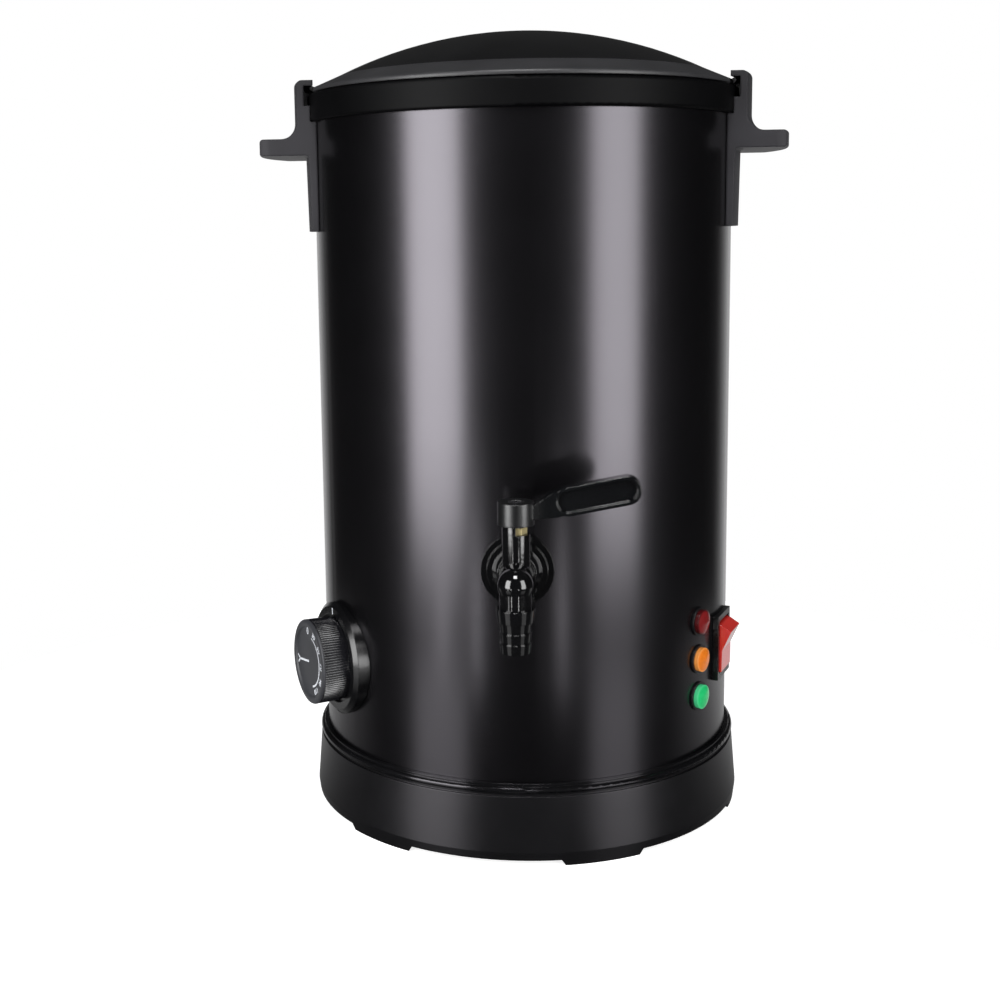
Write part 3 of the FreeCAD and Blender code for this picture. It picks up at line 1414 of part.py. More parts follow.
def switch_rocker():
    points = [
        ("0 - keel_half", "0 - keel_drop"),
        ("keel_half", "0 - keel_drop"),
        ("rocker_half", "0 - rocker_flank"),
        ("rocker_half", "rocker_shoulder"),
        ("crest_half", "crest_rise"),
        ("0", "saddle_rise"),
        ("0 - crest_half", "crest_rise"),
        ("0 - rocker_half", "rocker_shoulder"),
        ("0 - rocker_half", "0 - rocker_flank"),
    ]
    body = padded("Rocker", "YZ_Plane", points, "rocker_width")
    tilt = Placement(Vector(), Rotation(Vector(1, 0, 0), size("rocker_tilt")))
    body.Placement = at_switch("rocker_pivot").multiply(tilt)
    node("switch_rocker", fuse(body, *pivot_pins("pin_radius", "pin_length")))


def switch_terminals():
    blades = [blade(at_switch_blade(side, rise)) for side in SIDES for rise in SIDES]
    node("switch_terminals", group(*blades))


def at_switch_blade(side, rise, gap=0):
    """The end of one of the four blades behind the switch, or a gap behind it."""
    reach = f"frame_back - blade_length - {gap}"
    return at_switch(reach, f"{side} * switch_blade_half", f"{rise} * switch_blade_rise")


# ---------------------------------------------------------------- power inlet

def at_inlet(reach, along=0, rise=0):
    return outward(180, reach, "inlet_level", along, rise)


def power_inlet():
    tall = "inlet_front - body_radius + plate_root"
    flat = block("inlet_width", "inlet_height", tall, at_inlet("body_radius - plate_root"))
    plate = cut(flat, shell_form())
    deep = "inlet_front - inlet_back"
    case = block("inlet_body_width", "inlet_body_height", deep, at_inlet("inlet_back"))
    room = "inlet_front - socket_floor + past"
    socket = block("socket_width", "socket_height", room, at_inlet("socket_floor"))
    slit = ("prong_thick + 2 * run_gap", "prong_width + 2 * run_gap", "2 * drill_depth")
    slits = [block(*slit, at_inlet("inlet_back - past", along, rise)) for along, rise in prong_spots()]
    start = "body_radius - drill_depth"
    through = "2 * drill_depth"
    holes = [rod("small_screw + run_gap", through, at_inlet(start, 0, f"{side} * inlet_screw_half"))
             for side in SIDES]
    node("power_inlet", cut(fuse(plate, case), socket, *slits, *holes))


def prong_spots():
    """Two live pins side by side along the socket and the earth pin off their line."""
    back = "-prong_rise / 2"
    return ((back, "prong_pitch"), ("prong_rise / 2", "0"), (back, "-prong_pitch"))


def inlet_pins():
    tail = "inlet_back - blade_length"
    pins = [block("prong_thick", "prong_width", f"prong_front - ({tail})", at_inlet(tail, a, r))
            for a, r in prong_spots()]
    node("inlet_pins", group(*pins))


def inlet_screws():
    screws = []
    for side in SIDES:
        rise = f"{side} * inlet_screw_half"
        head = rod("small_head", "head_thick", at_inlet("inlet_front", 0, rise))
        deep = "body_radius - inlet_screw_grip"
        shank = rod("small_screw", f"inlet_front - ({deep})", at_inlet(deep, 0, rise))
        screws.append(fuse(head, shank))
    node("inlet_screws", group(*screws))


def inlet_nuts():
    nuts = []
    start = "body_radius - shell_wall - small_nut_thick - seat_gap"
    for side in SIDES:
        spot = at_inlet(start, 0, f"{side} * inlet_screw_half")
        hole = rod("small_screw + run_gap", "small_nut_thick", spot)
        nuts.append(cut(hexagon("small_nut_flats", "small_nut_thick", spot), hole))
    node("inlet_nuts", group(*nuts))


# ---------------------------------------------------------------- wires

def terminal_block():
    """Stands on the bottom plate behind the axis."""
    base = block("block_length", "block_width", "block_height", upright(180, "block_reach", block_foot()))
    count = int(size("terminal_count"))
    wells = [rod("wire_radius + run_gap", "well_depth + past", at_terminal(k)) for k in range(count)]
    node("terminal_block", cut(base, *wells))


def block_foot():
    return "plate_level + plate_wall"


def at_terminal(number):
    """The bottom of a terminal's well, counted from the right-hand end."""
    along = f"({number} + 0.5) * block_length / terminal_count - block_length / 2"
    top = f"{block_foot()} + block_height"
    return moved(upright(180, "block_reach", f"{top} - well_depth"), along)


def wire(name, number, target):
    """A wire from a terminal up, across, and straight in to the end of a blade or pin."""
    start = moved(at_terminal(number), 0, 0, "seat_gap").Base
    above = Vector(start.x, start.y, size(f"wire_low + {number} * wire_step"))
    before = moved(target, 0, 0, "-wire_lead").Base
    return pipe(name, [start, above, before, target.Base], "wire_radius")


def wiring():
    """Mains in, out through the switch and the thermostat, and to the heater's two pins."""
    inlet = "inlet_back - blade_length - seat_gap"
    control = "control_front - control_depth - blade_length - seat_gap"
    spots = prong_spots()
    pins = [at_pin(angle, f"{pin_end()} - seat_gap") for angle in pin_angles()]
    live = [
        wire("InletLive", 0, at_inlet(inlet, *spots[0])),
        wire("ControlLive", 1, at_knob(control, "control_blade_half")),
        wire("SwitchLive", 2, at_switch_blade(1, -1, "seat_gap")),
        wire("HeaterLive", 3, pins[1]),
    ]
    node("live_wires", group(*live))
    neutral = [
        wire("InletNeutral", 5, at_inlet(inlet, *spots[2])),
        wire("HeaterNeutral", 4, pins[0]),
    ]
    node("neutral_wires", group(*neutral))


# ---------------------------------------------------------------- build

def check_document():
    """Stops on any failed object and on any empty or invalid sub-part."""
    bad = [o.Label for o in doc.Objects if "Invalid" in o.State or "Error" in o.State]
    empty = [n.Label for n in NODES if n.Shape.isNull() or not n.Shape.isValid()]
    if bad or empty:
        raise RuntimeError(f"failed objects {bad}, empty or invalid sub-parts {empty}")


def report(thing):
    solids = len(thing.Shape.Solids)
    print(f"{thing.Label:22s} solids {solids} volume {thing.Shape.Volume:11.1f}")


def export():
    os.makedirs("parts", exist_ok=True)
    for thing in NODES:
        thing.Shape.exportStep(f"parts/{thing.Label}.step")
        report(thing)


fill_sheet()
PROBE = doc.addObject("App::FeaturePython", "Probe")
base_ring()
bottom_plate()
bottom_screws()
outer_shell()
top_collar()
inner_pot()
pot_insulation()
heater_plate()
heater_element()
heat_shield()
centre_stud()
stud_nuts()
thermal_cutout()
lid_seal()
lid()
for side_name, side_azimuth in zip(("right", "left"), HANDLE_AZIMUTHS):
    handle(f"handle_{side_name}", side_azimuth)
handle_screws()
tap_body()
tap_seals()
tap_locknut()
ball_seats()
tap_ball()
tap_stem()
gland_nut()
tap_lever()
lever_screw()
tap_nozzle()
dial_plate()
dial_screws()
thermostat_body()
thermostat_shaft()
thermostat_knob()
thermostat_terminals()
sensor_capillary()
bulb_clip()
for lamp_colour in COLOURS:
    lamp(lamp_colour)
lamp_nuts()
lamp_terminals()
switch_housing()
switch_rocker()
switch_terminals()
power_inlet()
inlet_pins()
inlet_screws()
inlet_nuts()
terminal_block()
wiring()
doc.recompute()
check_document()
export()
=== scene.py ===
"""The looks of the electric wax melter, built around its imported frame."""

import json
import math

import bmesh
import bpy
from mathutils import Matrix, Vector

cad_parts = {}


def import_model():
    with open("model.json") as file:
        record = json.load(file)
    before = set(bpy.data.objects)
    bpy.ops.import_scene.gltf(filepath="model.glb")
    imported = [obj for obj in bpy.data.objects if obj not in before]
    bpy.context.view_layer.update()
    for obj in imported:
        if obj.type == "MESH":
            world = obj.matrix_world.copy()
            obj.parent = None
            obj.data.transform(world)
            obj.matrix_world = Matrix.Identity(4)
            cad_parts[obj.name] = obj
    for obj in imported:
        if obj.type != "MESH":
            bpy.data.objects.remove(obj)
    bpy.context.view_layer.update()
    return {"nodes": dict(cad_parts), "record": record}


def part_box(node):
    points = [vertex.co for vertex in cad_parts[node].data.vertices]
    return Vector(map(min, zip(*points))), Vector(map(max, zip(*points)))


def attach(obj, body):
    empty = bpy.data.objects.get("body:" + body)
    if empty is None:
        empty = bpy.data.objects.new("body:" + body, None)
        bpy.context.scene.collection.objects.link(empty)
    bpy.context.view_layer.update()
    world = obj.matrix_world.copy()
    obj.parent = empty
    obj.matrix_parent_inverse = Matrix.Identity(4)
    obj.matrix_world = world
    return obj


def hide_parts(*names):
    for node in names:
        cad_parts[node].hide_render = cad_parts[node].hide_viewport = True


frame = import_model()
scene = bpy.context.scene

MM = 0.001
UP = Vector((0, 0, 1))

# The camera, as fitted to the object: distance and height in metres, angles in radians, lens and
# sensor in millimetres.
CAMERA_TURN = math.radians(1.6)
CAMERA_DISTANCE = 0.79979
CAMERA_HEIGHT = 0.31654
CAMERA_DIP = 0.1486
CAMERA_ROLL = -0.0150
CAMERA_YAW = -0.0603
CAMERA_LENS = 53.04
CAMERA_SENSOR = 36.0
CAMERA_SHIFT = (0.0647, -0.0644)
CAMERA_CLIP = (0.01, 50)

# The lights: two tall soft boxes in front, three low and weak ones, and a small light above.
# Each soft box: degrees from the front (positive towards +X), distance, width, foot, top, power.
SOFT_BOXES = (
    (-44.4, 1.15, 0.60, -0.07, 0.93, 13.2),
    (50.0, 1.15, 0.54, -0.09, 0.93, 9.4),
    (-42.0, 1.12, 0.12, -0.30, -0.10, 0.20),
    (-23.0, 1.10, 0.026, -0.22, -0.05, 0.22),
    (21.0, 1.10, 0.034, -0.20, -0.06, 0.19),
)
# The light above: distance in front of the axis, height, width and power, and the height that it
# aims at.
TOP_LIGHT = (0.50, 0.95, 0.28, 3.6)
TOP_LIGHT_AIM = 0.2

# The room: its dim light, and what gloss sees of it. Each pair is a range of z of the unit
# direction looked in, or for the backdrop's edge of y of its level part.
AMBIENT = 0.30
ROOM_IN_GLOSS = 0.008
FLOOR_IN_GLOSS = 0.02
HORIZON = (-0.12, 0.0)
BACKDROP_EDGE = (0.74, 0.93)
# The backdrop is white below the first range, BACKDROP_HIGH above it and dark above the second.
BACKDROP_TOP = (0.05, 0.20)
BACKDROP_HIGH = 0.03
BACKDROP_FADE = (0.69, 0.76)

# The table top: what the lights meet, what the camera sees, and what gloss sees in front of the
# object and behind it, with the two places in y between which it goes from one to the other.
TABLE_RADIUS = 0.42
TABLE_SIDES = 96
TABLE_ALBEDO = 0.8
TABLE_UNEVEN = 0.01
TABLE_BLOTCH = 0.2
TABLE_GLOW = 0.8
TABLE_IN_GLOSS = 0.01
TABLE_BEHIND = 0.7
TABLE_BACK = (-0.09, 0.14)
TABLE_GLOSS = 0.35
TABLE_ROUGHNESS = 0.04

# Softened edges are shaded from this many samples.
EDGE_SAMPLES = 4

# The lamps: where their crowns lie, in degrees and in millimetres from the axis of the body, and
# the distances from a crown's middle, in metres, over which it takes the colour of its rim: a
# painted highlight on the amber and green lenses, and a darker colour on the red one.
LAMP_AZIMUTH = 55.5
LENS_FRONT = 114.2
LENS_PAINTED_RIM = (0.0052, 0.0062)

# The knob and its dial: degrees from the front, height, and places out from the axis of the body,
# in millimetres. Faces past FACE_OUT, which is in metres, take the material of the knob's face.
KNOB_AZIMUTH = -59.4
KNOB_LEVEL = 87.1
KNOB_BACK = 113.3
KNOB_FRONT = 128.8
DISH_FLOOR = 127.8
FACE_OUT = (DISH_FLOOR - 0.1) * MM
DIAL_FACE = 114.6
FLUTES = 100
FLUTE_STEPS = 8
SHARP_ANGLE = 40
# The knob's outline: place out, radius, and how deep the flutes are there.
KNOB_OUTLINE = (
    (KNOB_BACK, 8.0, 0),
    (KNOB_BACK, 21.0, 0),
    (KNOB_BACK + 0.5, 21.6, 0),
    (KNOB_BACK + 1.2, 21.7, 0),
    (KNOB_BACK + 1.6, 21.9, 0.6),
    (KNOB_FRONT - 2.2, 22.0, 0.6),
    (KNOB_FRONT - 1.2, 22.1, 0.4),
    (KNOB_FRONT - 0.8, 22.05, 0),
    (KNOB_FRONT - 0.3, 21.8, 0),
    (KNOB_FRONT, 21.2, 0),
    (KNOB_FRONT, 19.0, 0),
    (KNOB_FRONT - 0.15, 18.7, 0),
    (DISH_FLOOR + 0.15, 18.3, 0),
    (DISH_FLOOR, 17.9, 0),
    (DISH_FLOOR, 9.0, 0),
)

# The print, in millimetres, with turns in degrees clockwise from the top.
# Each number: text, turn and height.
SCALE = (
    ("0", -8, 5.0), ("30", 22, 4.2), ("50", 54, 4.2),
    ("70", 86, 4.2), ("90", 118, 4.2), ("110", 150, 4.0),
)
SCALE_RADIUS = 15.9
NUMERAL_DEPTH = 0.06
NUMERAL_BOLD = 0.05
NUMERAL_STEPS = 3
MARK_DEPTH = 0.12
INDEX_DEPTH = 0.1
# The arc under the numbers widens inwards by ARC_GROWTH for each degree.
ARC_TURNS = range(12, 166, 3)
ARC_INNER = 13.1
ARC_OUTER = 13.5
ARC_GROWTH = 0.004
HAND_TURN = 262
# Marks by pairs of (radius, turn) along their two sides. Turns of the hand and of the fork at its
# end count from HAND_TURN, the fork's to one side and then to the other.
HAND = (((1.6, -20), (1.6, 20)), ((12.6, -2.4), (12.6, 2.4)), ((14.2, -1.8), (14.2, 1.8)))
FORK = (((13.8, 0.5), (14.6, -2.2)), ((17.4, 8.0), (17.6, 5.2)))
INDEX = (((23.6, -1.1), (23.6, 1.1)), ((27.0, -0.9), (27.0, 0.9)))


# ---------------------------------------------------------------- materials


def outward(azimuth, out, across=0.0, up=0.0):
    """A point in metres: `out` from the axis, `across` to the right as seen from outside."""
    a = math.radians(azimuth)
    return (
        Vector((math.sin(a), -math.cos(a), 0)) * out * MM
        + Vector((math.cos(a), math.sin(a), 0)) * across * MM
        + UP * up * MM
    )


def node_of(tree, kind, **values):
    """A shader node with its plain properties set."""
    made = tree.nodes.new(kind)
    for name, value in values.items():
        setattr(made, name, value)
    return made


def noise(tree, where, size, detail=2.0):
    """Noise whose grains are about `size` metres."""
    made = node_of(tree, "ShaderNodeTexNoise")
    made.inputs["Scale"].default_value = 1 / size
    made.inputs["Detail"].default_value = detail
    tree.links.new(where, made.inputs["Vector"])
    return made.outputs["Fac"]


def spread(tree, value, low, high, start=0.3, end=0.7):
    """A value from start..end mapped to low..high. Noise lies mostly between 0.3 and 0.7."""
    made = node_of(tree, "ShaderNodeMapRange")
    tree.links.new(value, made.inputs["Value"])
    limits = {"From Min": start, "From Max": end, "To Min": low, "To Max": high}
    for name, number in limits.items():
        made.inputs[name].default_value = number
    return made.outputs["Result"]


def joined(tree, operation, first, second):
    """Two values joined by an operation. Either may be a number."""
    made = node_of(tree, "ShaderNodeMath", operation=operation)
    for socket, value in zip(made.inputs, (first, second)):
        if isinstance(value, bpy.types.NodeSocket):
            tree.links.new(value, socket)
        else:
            socket.default_value = value
    return made.outputs[0]


def along(tree, place, axis, start, end, first, last):
    """A value that goes from first to last between two places along an axis of the object."""
    parts = node_of(tree, "ShaderNodeSeparateXYZ")
    tree.links.new(place, parts.inputs[0])
    return spread(tree, parts.outputs[axis], first, last, start, end)


def mixed(tree, share, first, second):
    """Two colours mixed by a share. Either may be a socket."""
    made = node_of(tree, "ShaderNodeMix", data_type="RGBA")
    tree.links.new(share, made.inputs[0])
    for socket, colour in ((made.inputs[6], first), (made.inputs[7], second)):
        if isinstance(colour, bpy.types.NodeSocket):
            tree.links.new(colour, socket)
        else:
            socket.default_value = (*colour, 1)
    return made.outputs[2]


def finish_of(name, colour, rough, metal=0.0, level=0.5, tone=0.2, blotch=0.03, grain=0.0006,
              relief=0.00001, uneven=0.04, edge=0.0004, coat=0.0, coat_rough=0.1, stretch=None,
              tint=(1, 1, 1), duller=None, painted_shade_and_sheen=None):
    """A material with blotches of tone, a fine grain in gloss and relief, and softened edges.

    blotch, grain, relief and edge are in metres. duller and painted_shade_and_sheen are (axis,
    start, end, first, last): what is added to the roughness, and the share of black painted into
    the colour as shade, along the object.
    """
    material = bpy.data.materials.new(name)
    material.use_nodes = True
    tree = material.node_tree
    shader = tree.nodes["Principled BSDF"]
    place = node_of(tree, "ShaderNodeTexCoord").outputs["Object"]
    if stretch:
        mapping = node_of(tree, "ShaderNodeMapping")
        mapping.inputs["Scale"].default_value = stretch
        tree.links.new(place, mapping.inputs["Vector"])
        place = mapping.outputs["Vector"]
    wide = noise(tree, place, blotch, detail=3.0)
    fine = noise(tree, place, grain)
    dark = [c * (1 - tone) for c in colour]
    light = [c * (1 + tone) for c in colour]
    shown = mixed(tree, spread(tree, wide, 0, 1), dark, light)
    # Painted shade and sheen: the colour is mixed towards black along one axis of the object.
    if painted_shade_and_sheen:
        shown = mixed(tree, along(tree, place, *painted_shade_and_sheen), shown, (0, 0, 0))
    tree.links.new(shown, shader.inputs["Base Color"])
    half = uneven / 2
    total = joined(tree, "ADD", spread(tree, wide, -half, half),
                   spread(tree, fine, rough - half, rough + half))
    if duller:
        total = joined(tree, "ADD", total, along(tree, place, *duller))
    tree.links.new(total, shader.inputs["Roughness"])
    bump = node_of(tree, "ShaderNodeBump")
    bump.inputs["Distance"].default_value = relief
    tree.links.new(fine, bump.inputs["Height"])
    if edge:
        bevel = node_of(tree, "ShaderNodeBevel", samples=EDGE_SAMPLES)
        bevel.inputs["Radius"].default_value = edge
        tree.links.new(bevel.outputs["Normal"], bump.inputs["Normal"])
    tree.links.new(bump.outputs["Normal"], shader.inputs["Normal"])
    shader.inputs["Metallic"].default_value = metal
    shader.inputs["Specular IOR Level"].default_value = level
    shader.inputs["Specular Tint"].default_value = (*tint, 1)
    shader.inputs["Coat Weight"].default_value = coat
    shader.inputs["Coat Roughness"].default_value = coat_rough
    return material


def lens_of(name, node, middle, rim, glow):
    """A moulded lamp lens with one colour in the middle of its crown and another at its rim; a
    lighter rim is a painted highlight.
    """
    material = finish_of(name, middle, 0.22, tone=0.08, blotch=0.002, grain=0.0009, relief=0.00002,
                         coat=0.35, coat_rough=0.08, edge=0.0003)
    tree = material.node_tree
    shader = tree.nodes["Principled BSDF"]
    base = shader.inputs["Base Color"].links[0].from_socket
    low, high = (Vector(corner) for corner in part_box(node))
    height = (low.z + high.z) / 2
    apart = node_of(tree, "ShaderNodeVectorMath", operation="DISTANCE")
    tree.links.new(node_of(tree, "ShaderNodeTexCoord").outputs["Object"], apart.inputs[0])
    apart.inputs[1].default_value = outward(LAMP_AZIMUTH, LENS_FRONT, 0, height / MM)
    # The share of the rim's colour, a painted highlight where the rim is lighter than the middle.
    share = spread(tree, apart.outputs["Value"], 0, 1, *LENS_PAINTED_RIM)
    colour = mixed(tree, share, base, rim)
    tree.links.new(colour, shader.inputs["Base Color"])
    tree.links.new(colour, shader.inputs["Emission Color"])
    shader.inputs["Emission Strength"].default_value = glow
    return material


MATERIALS = {
    "shell_black": finish_of("shell_paint", (0.0010, 0.0010, 0.0012), 0.25, level=0.9, tone=0.12,
                             grain=0.0009, relief=0.000002, uneven=0.010, edge=0.0003,
                             tint=(0.96, 0.91, 1.0)),
    "base_black": finish_of("base_moulding", (0.0040, 0.0040, 0.0045), 0.31, grain=0.0007,
                            relief=0.000006, edge=0.0006, tint=(0.97, 0.93, 1.0),
                            duller=("Z", 0.0355, 0.0365, 0.0, -0.16)),
    "collar_black": finish_of("collar_moulding", (0.0016, 0.0016, 0.0019), 0.50, level=0.09,
                              edge=0.0010),
    # The lid's colour is lighter on the brim below z 0.3874 as a painted sheen; above z 0.3880 the
    # dome is mixed 80% towards black.
    "lid_black": finish_of("lid_moulding_painted_sheen", (0.026, 0.026, 0.028), 0.42, level=0.6, edge=0.0010,
                           duller=("Z", 0.3874, 0.3880, 0.0, -0.22),
                           painted_shade_and_sheen=("Z", 0.3874, 0.3880, 0.0, 0.80)),
    # Painted shade on the handles: their colour grows darker towards the top, from none at z 0.355
    # to 60% black at z 0.392.
    "handle_black": finish_of("handle_moulding_painted_shade", (0.025, 0.024, 0.028), 0.62, level=0.3,
                              grain=0.0005, relief=0.000015, edge=0.0014,
                              painted_shade_and_sheen=("Z", 0.355, 0.392, 0.0, 0.6)),
    "tap_black": finish_of("tap_gloss", (0.0030, 0.0030, 0.0034), 0.08, level=0.9, grain=0.004,
                           relief=0.00003, uneven=0.02, edge=0.0005,
                           duller=("Z", 0.158, 0.166, 0.0, 0.02)),
    "lever_black": finish_of("lever_gloss", (0.0036, 0.0039, 0.0044), 0.10, level=0.95,
                             edge=0.0010, duller=("X", 0.009, 0.016, 0.24, 0.0)),
    "gland_brass": finish_of("gland_brass_turned", (0.95, 0.80, 0.42), 0.34, metal=0.7, tone=0.1,
                             grain=0.0003, edge=0.0003),
    "pot_metal": finish_of("pot_spun", (0.72, 0.73, 0.74), 0.3, metal=1.0, tone=0.06,
                           grain=0.0008, relief=0.00002, stretch=(0.05, 0.05, 1)),
    "sheet_steel": finish_of("sheet_plain", (0.5, 0.5, 0.51), 0.38, metal=1.0, tone=0.1),
    "fastener_steel": finish_of("fastener_zinc", (0.6, 0.6, 0.62), 0.28, metal=1.0, tone=0.1),
    "element_steel": finish_of("element_tinted", (0.36, 0.33, 0.3), 0.35, metal=1.0, tone=0.3,
                               blotch=0.012),
    "stem_steel": finish_of("stem_turned", (0.6, 0.6, 0.61), 0.25, metal=1.0, tone=0.08),
    "seal_rubber": finish_of("seal_silicone", (0.025, 0.025, 0.027), 0.6, level=0.4,
                             relief=0.00003),
    "nut_black": finish_of("nut_nylon", (0.018, 0.018, 0.018), 0.5, relief=0.00002),
    "seat_white": finish_of("seat_waxy", (0.8, 0.79, 0.75), 0.4, tone=0.04),
    "wool": finish_of("wool_mat", (0.72, 0.68, 0.56), 0.95, level=0.1, tone=0.25, blotch=0.008,
                      grain=0.0008, relief=0.0004),
    "knob_black": finish_of("knob_moulding", (0.008, 0.008, 0.010), 0.17, level=0.9,
                            grain=0.0004, edge=0.0),
    "dial_black": finish_of("dial_gloss", (0.0035, 0.0035, 0.0040), 0.20, level=0.6, edge=0.0006),
    "control_case": finish_of("case_phenolic", (0.66, 0.63, 0.52), 0.55, tone=0.08),
    "terminal_metal": finish_of("terminal_nickel", (0.68, 0.66, 0.6), 0.3, metal=1.0, tone=0.1),
    # The amber and green rims are lighter than their middles, a painted highlight; the red rim is
    # darker than its middle.
    "lens_red": lens_of("lens_red_off", "lamp_lens_red", middle=(0.16, 0.009, 0.010),
                        rim=(0.06, 0.004, 0.005), glow=0.0),
    "lens_amber": lens_of("lens_amber_lit_painted_rim", "lamp_lens_amber", middle=(0.60, 0.15, 0.010),
                          rim=(0.66, 0.24, 0.05), glow=0.10),
    "lens_green": lens_of("lens_green_lit_painted_rim", "lamp_lens_green", middle=(0.012, 0.40, 0.12),
                          rim=(0.05, 0.46, 0.19), glow=0.14),
    "lamp_rim": finish_of("lamp_rim_gloss", (0.010, 0.010, 0.011), 0.25, edge=0.0003),
    "switch_black": finish_of("switch_moulding", (0.005, 0.005, 0.0056), 0.28, edge=0.0004),
    "rocker_red": finish_of("rocker_gloss", (0.58, 0.026, 0.020), 0.14, level=0.9, tone=0.06,
                            blotch=0.01, coat=0.8, edge=0.0005),
    "wire_brown": finish_of("wire_brown_sleeve", (0.16, 0.07, 0.03), 0.45),
    "wire_blue": finish_of("wire_blue_sleeve", (0.04, 0.13, 0.42), 0.45),
}
KNOB_FACE = finish_of("knob_face", (0.033, 0.034, 0.039), 0.45, grain=0.0004, edge=0.0)
PRINT_WHITE = finish_of("print_white", (0.62, 0.64, 0.68), 0.5, tone=0.03, blotch=0.004, edge=0.0)

SLOT_OF = {
    part["node"]: part["material_slot"]
    for part in frame["record"]["subparts"]
    if part.get("material_slot")
}


def dress(obj, material):
    """obj shows one material."""
    obj.data.materials.clear()
    obj.data.materials.append(material)


for name, obj in frame["nodes"].items():
    dress(obj, MATERIALS[SLOT_OF[name]])


# ---------------------------------------------------------------- pieces


def added(name, mesh, material, body):
    """A new piece in the scene that rides on a body. A mesh may have its own materials."""
    obj = bpy.data.objects.new(name, mesh)
    scene.collection.objects.link(obj)
    if material:
        dress(obj, material)
    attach(obj, body)
    return obj


def knob_point(radius, turn, out):
    """A point on the knob: radius and turn clockwise from the top, as seen from outside."""
    t = math.radians(turn)
    return outward(KNOB_AZIMUTH, out, radius * math.sin(t), KNOB_LEVEL + radius * math.cos(t))


def fluted_knob():
    """The knob's body of revolution with fine flutes round its side."""
    steps = FLUTES * FLUTE_STEPS
    made = bmesh.new()
    rings = []
    for out, radius, depth in KNOB_OUTLINE:
        ring = []
        for i in range(steps):
            wave = abs(math.sin(math.pi * FLUTES * i / steps))
            place = knob_point(radius - depth * (1 - wave), 360 * i / steps, out)
            ring.append(made.verts.new(place))
        rings.append(ring)
    centre = made.verts.new(knob_point(0, 0, DISH_FLOOR))
    back = made.verts.new(knob_point(0, 0, KNOB_BACK))
    for first, second in zip(rings, rings[1:]):
        for i in range(steps):
            j = (i + 1) % steps
            made.faces.new((first[i], first[j], second[j], second[i]))
    for i in range(steps):
        j = (i + 1) % steps
        made.faces.new((rings[-1][i], rings[-1][j], centre))
        made.faces.new((rings[0][j], rings[0][i], back))
    bmesh.ops.recalc_face_normals(made, faces=made.faces)
    mesh = bpy.data.meshes.new("knob_fluted")
    made.to_mesh(mesh)
    made.free()
    mesh.polygons.foreach_set("use_smooth", [True] * len(mesh.polygons))
    mesh.set_sharp_from_angle(angle=math.radians(SHARP_ANGLE))
    mesh.materials.append(MATERIALS["knob_black"])
    mesh.materials.append(KNOB_FACE)
    axis = outward(KNOB_AZIMUTH, 1).normalized()
    for face in mesh.polygons:
        face.material_index = int(face.center.dot(axis) > FACE_OUT)
    return mesh


def band(name, points, thickness, level):
    """A flat raised mark round the knob's axis from pairs of (radius, turn) along its sides."""
    made = bmesh.new()
    rows = []
    for pair in points:
        rows.append([
            made.verts.new(knob_point(radius, turn, level + lift))
            for radius, turn in pair for lift in (0, thickness)
        ])
    for a, b in zip(rows, rows[1:]):
        made.faces.new((a[1], a[3], b[3], b[1]))
        made.faces.new((a[0], a[1], b[1], b[0]))
        made.faces.new((a[3], a[2], b[2], b[3]))
        made.faces.new((a[2], a[0], b[0], b[2]))
    for end in (rows[0], rows[-1]):
        made.faces.new((end[0], end[1], end[3], end[2]))
    bmesh.ops.recalc_face_normals(made, faces=made.faces)
    mesh = bpy.data.meshes.new(name)
    made.to_mesh(mesh)
    made.free()
    return mesh


def numeral(name, text, turn, height):
    """A printed number on the knob's face that stands upright when it is at the index."""
    curve = bpy.data.curves.new(name + "_outline", "FONT")
    curve.body = text
    curve.size = height * MM
    curve.extrude = NUMERAL_DEPTH * MM
    curve.offset = NUMERAL_BOLD * MM
    curve.align_x = "CENTER"
    curve.align_y = "CENTER"
    curve.resolution_u = NUMERAL_STEPS
    holder = bpy.data.objects.new(name + "_holder", curve)
    scene.collection.objects.link(holder)
    bpy.context.view_layer.update()
    depsgraph = bpy.context.evaluated_depsgraph_get()
    mesh = bpy.data.meshes.new_from_object(holder.evaluated_get(depsgraph))
    bpy.data.objects.remove(holder)
    bpy.data.curves.remove(curve)
    mesh.name = name
    out = outward(KNOB_AZIMUTH, 1 / MM)
    outer = (knob_point(1, turn, 0) - knob_point(0, 0, 0)).normalized()
    side = outer.cross(out)
    turned = Matrix((side, outer, out)).transposed().to_4x4()
    place = knob_point(SCALE_RADIUS, turn, DISH_FLOOR + NUMERAL_DEPTH)
    mesh.transform(Matrix.Translation(place) @ turned)
    return mesh


def printed(name, mesh):
    """A white mark on the knob's face."""
    added(name, mesh, PRINT_WHITE, "knob")


knob = added("knob_fluted", fluted_knob(), None, "knob")
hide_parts("thermostat_knob")

for text, turn, height in SCALE:
    printed("scale_" + text, numeral("scale_" + text, text, turn, height))
arc = [
    ((ARC_INNER - ARC_GROWTH * (turn - ARC_TURNS[0]), turn), (ARC_OUTER, turn))
    for turn in ARC_TURNS
]
printed("scale_arc", band("scale_arc", arc, MARK_DEPTH, DISH_FLOOR))
hand = [[(radius, HAND_TURN + turn) for radius, turn in pair] for pair in HAND]
printed("scale_hand", band("scale_hand", hand, MARK_DEPTH, DISH_FLOOR))
for side in (-1, 1):
    fork = [[(radius, HAND_TURN + side * turn) for radius, turn in pair] for pair in FORK]
    printed("scale_fork_%d" % (side + 2), band("scale_fork", fork, MARK_DEPTH, DISH_FLOOR))
added("dial_index", band("dial_index", INDEX, INDEX_DEPTH, DIAL_FACE), PRINT_WHITE,
      "housing")


# ---------------------------------------------------------------- studio


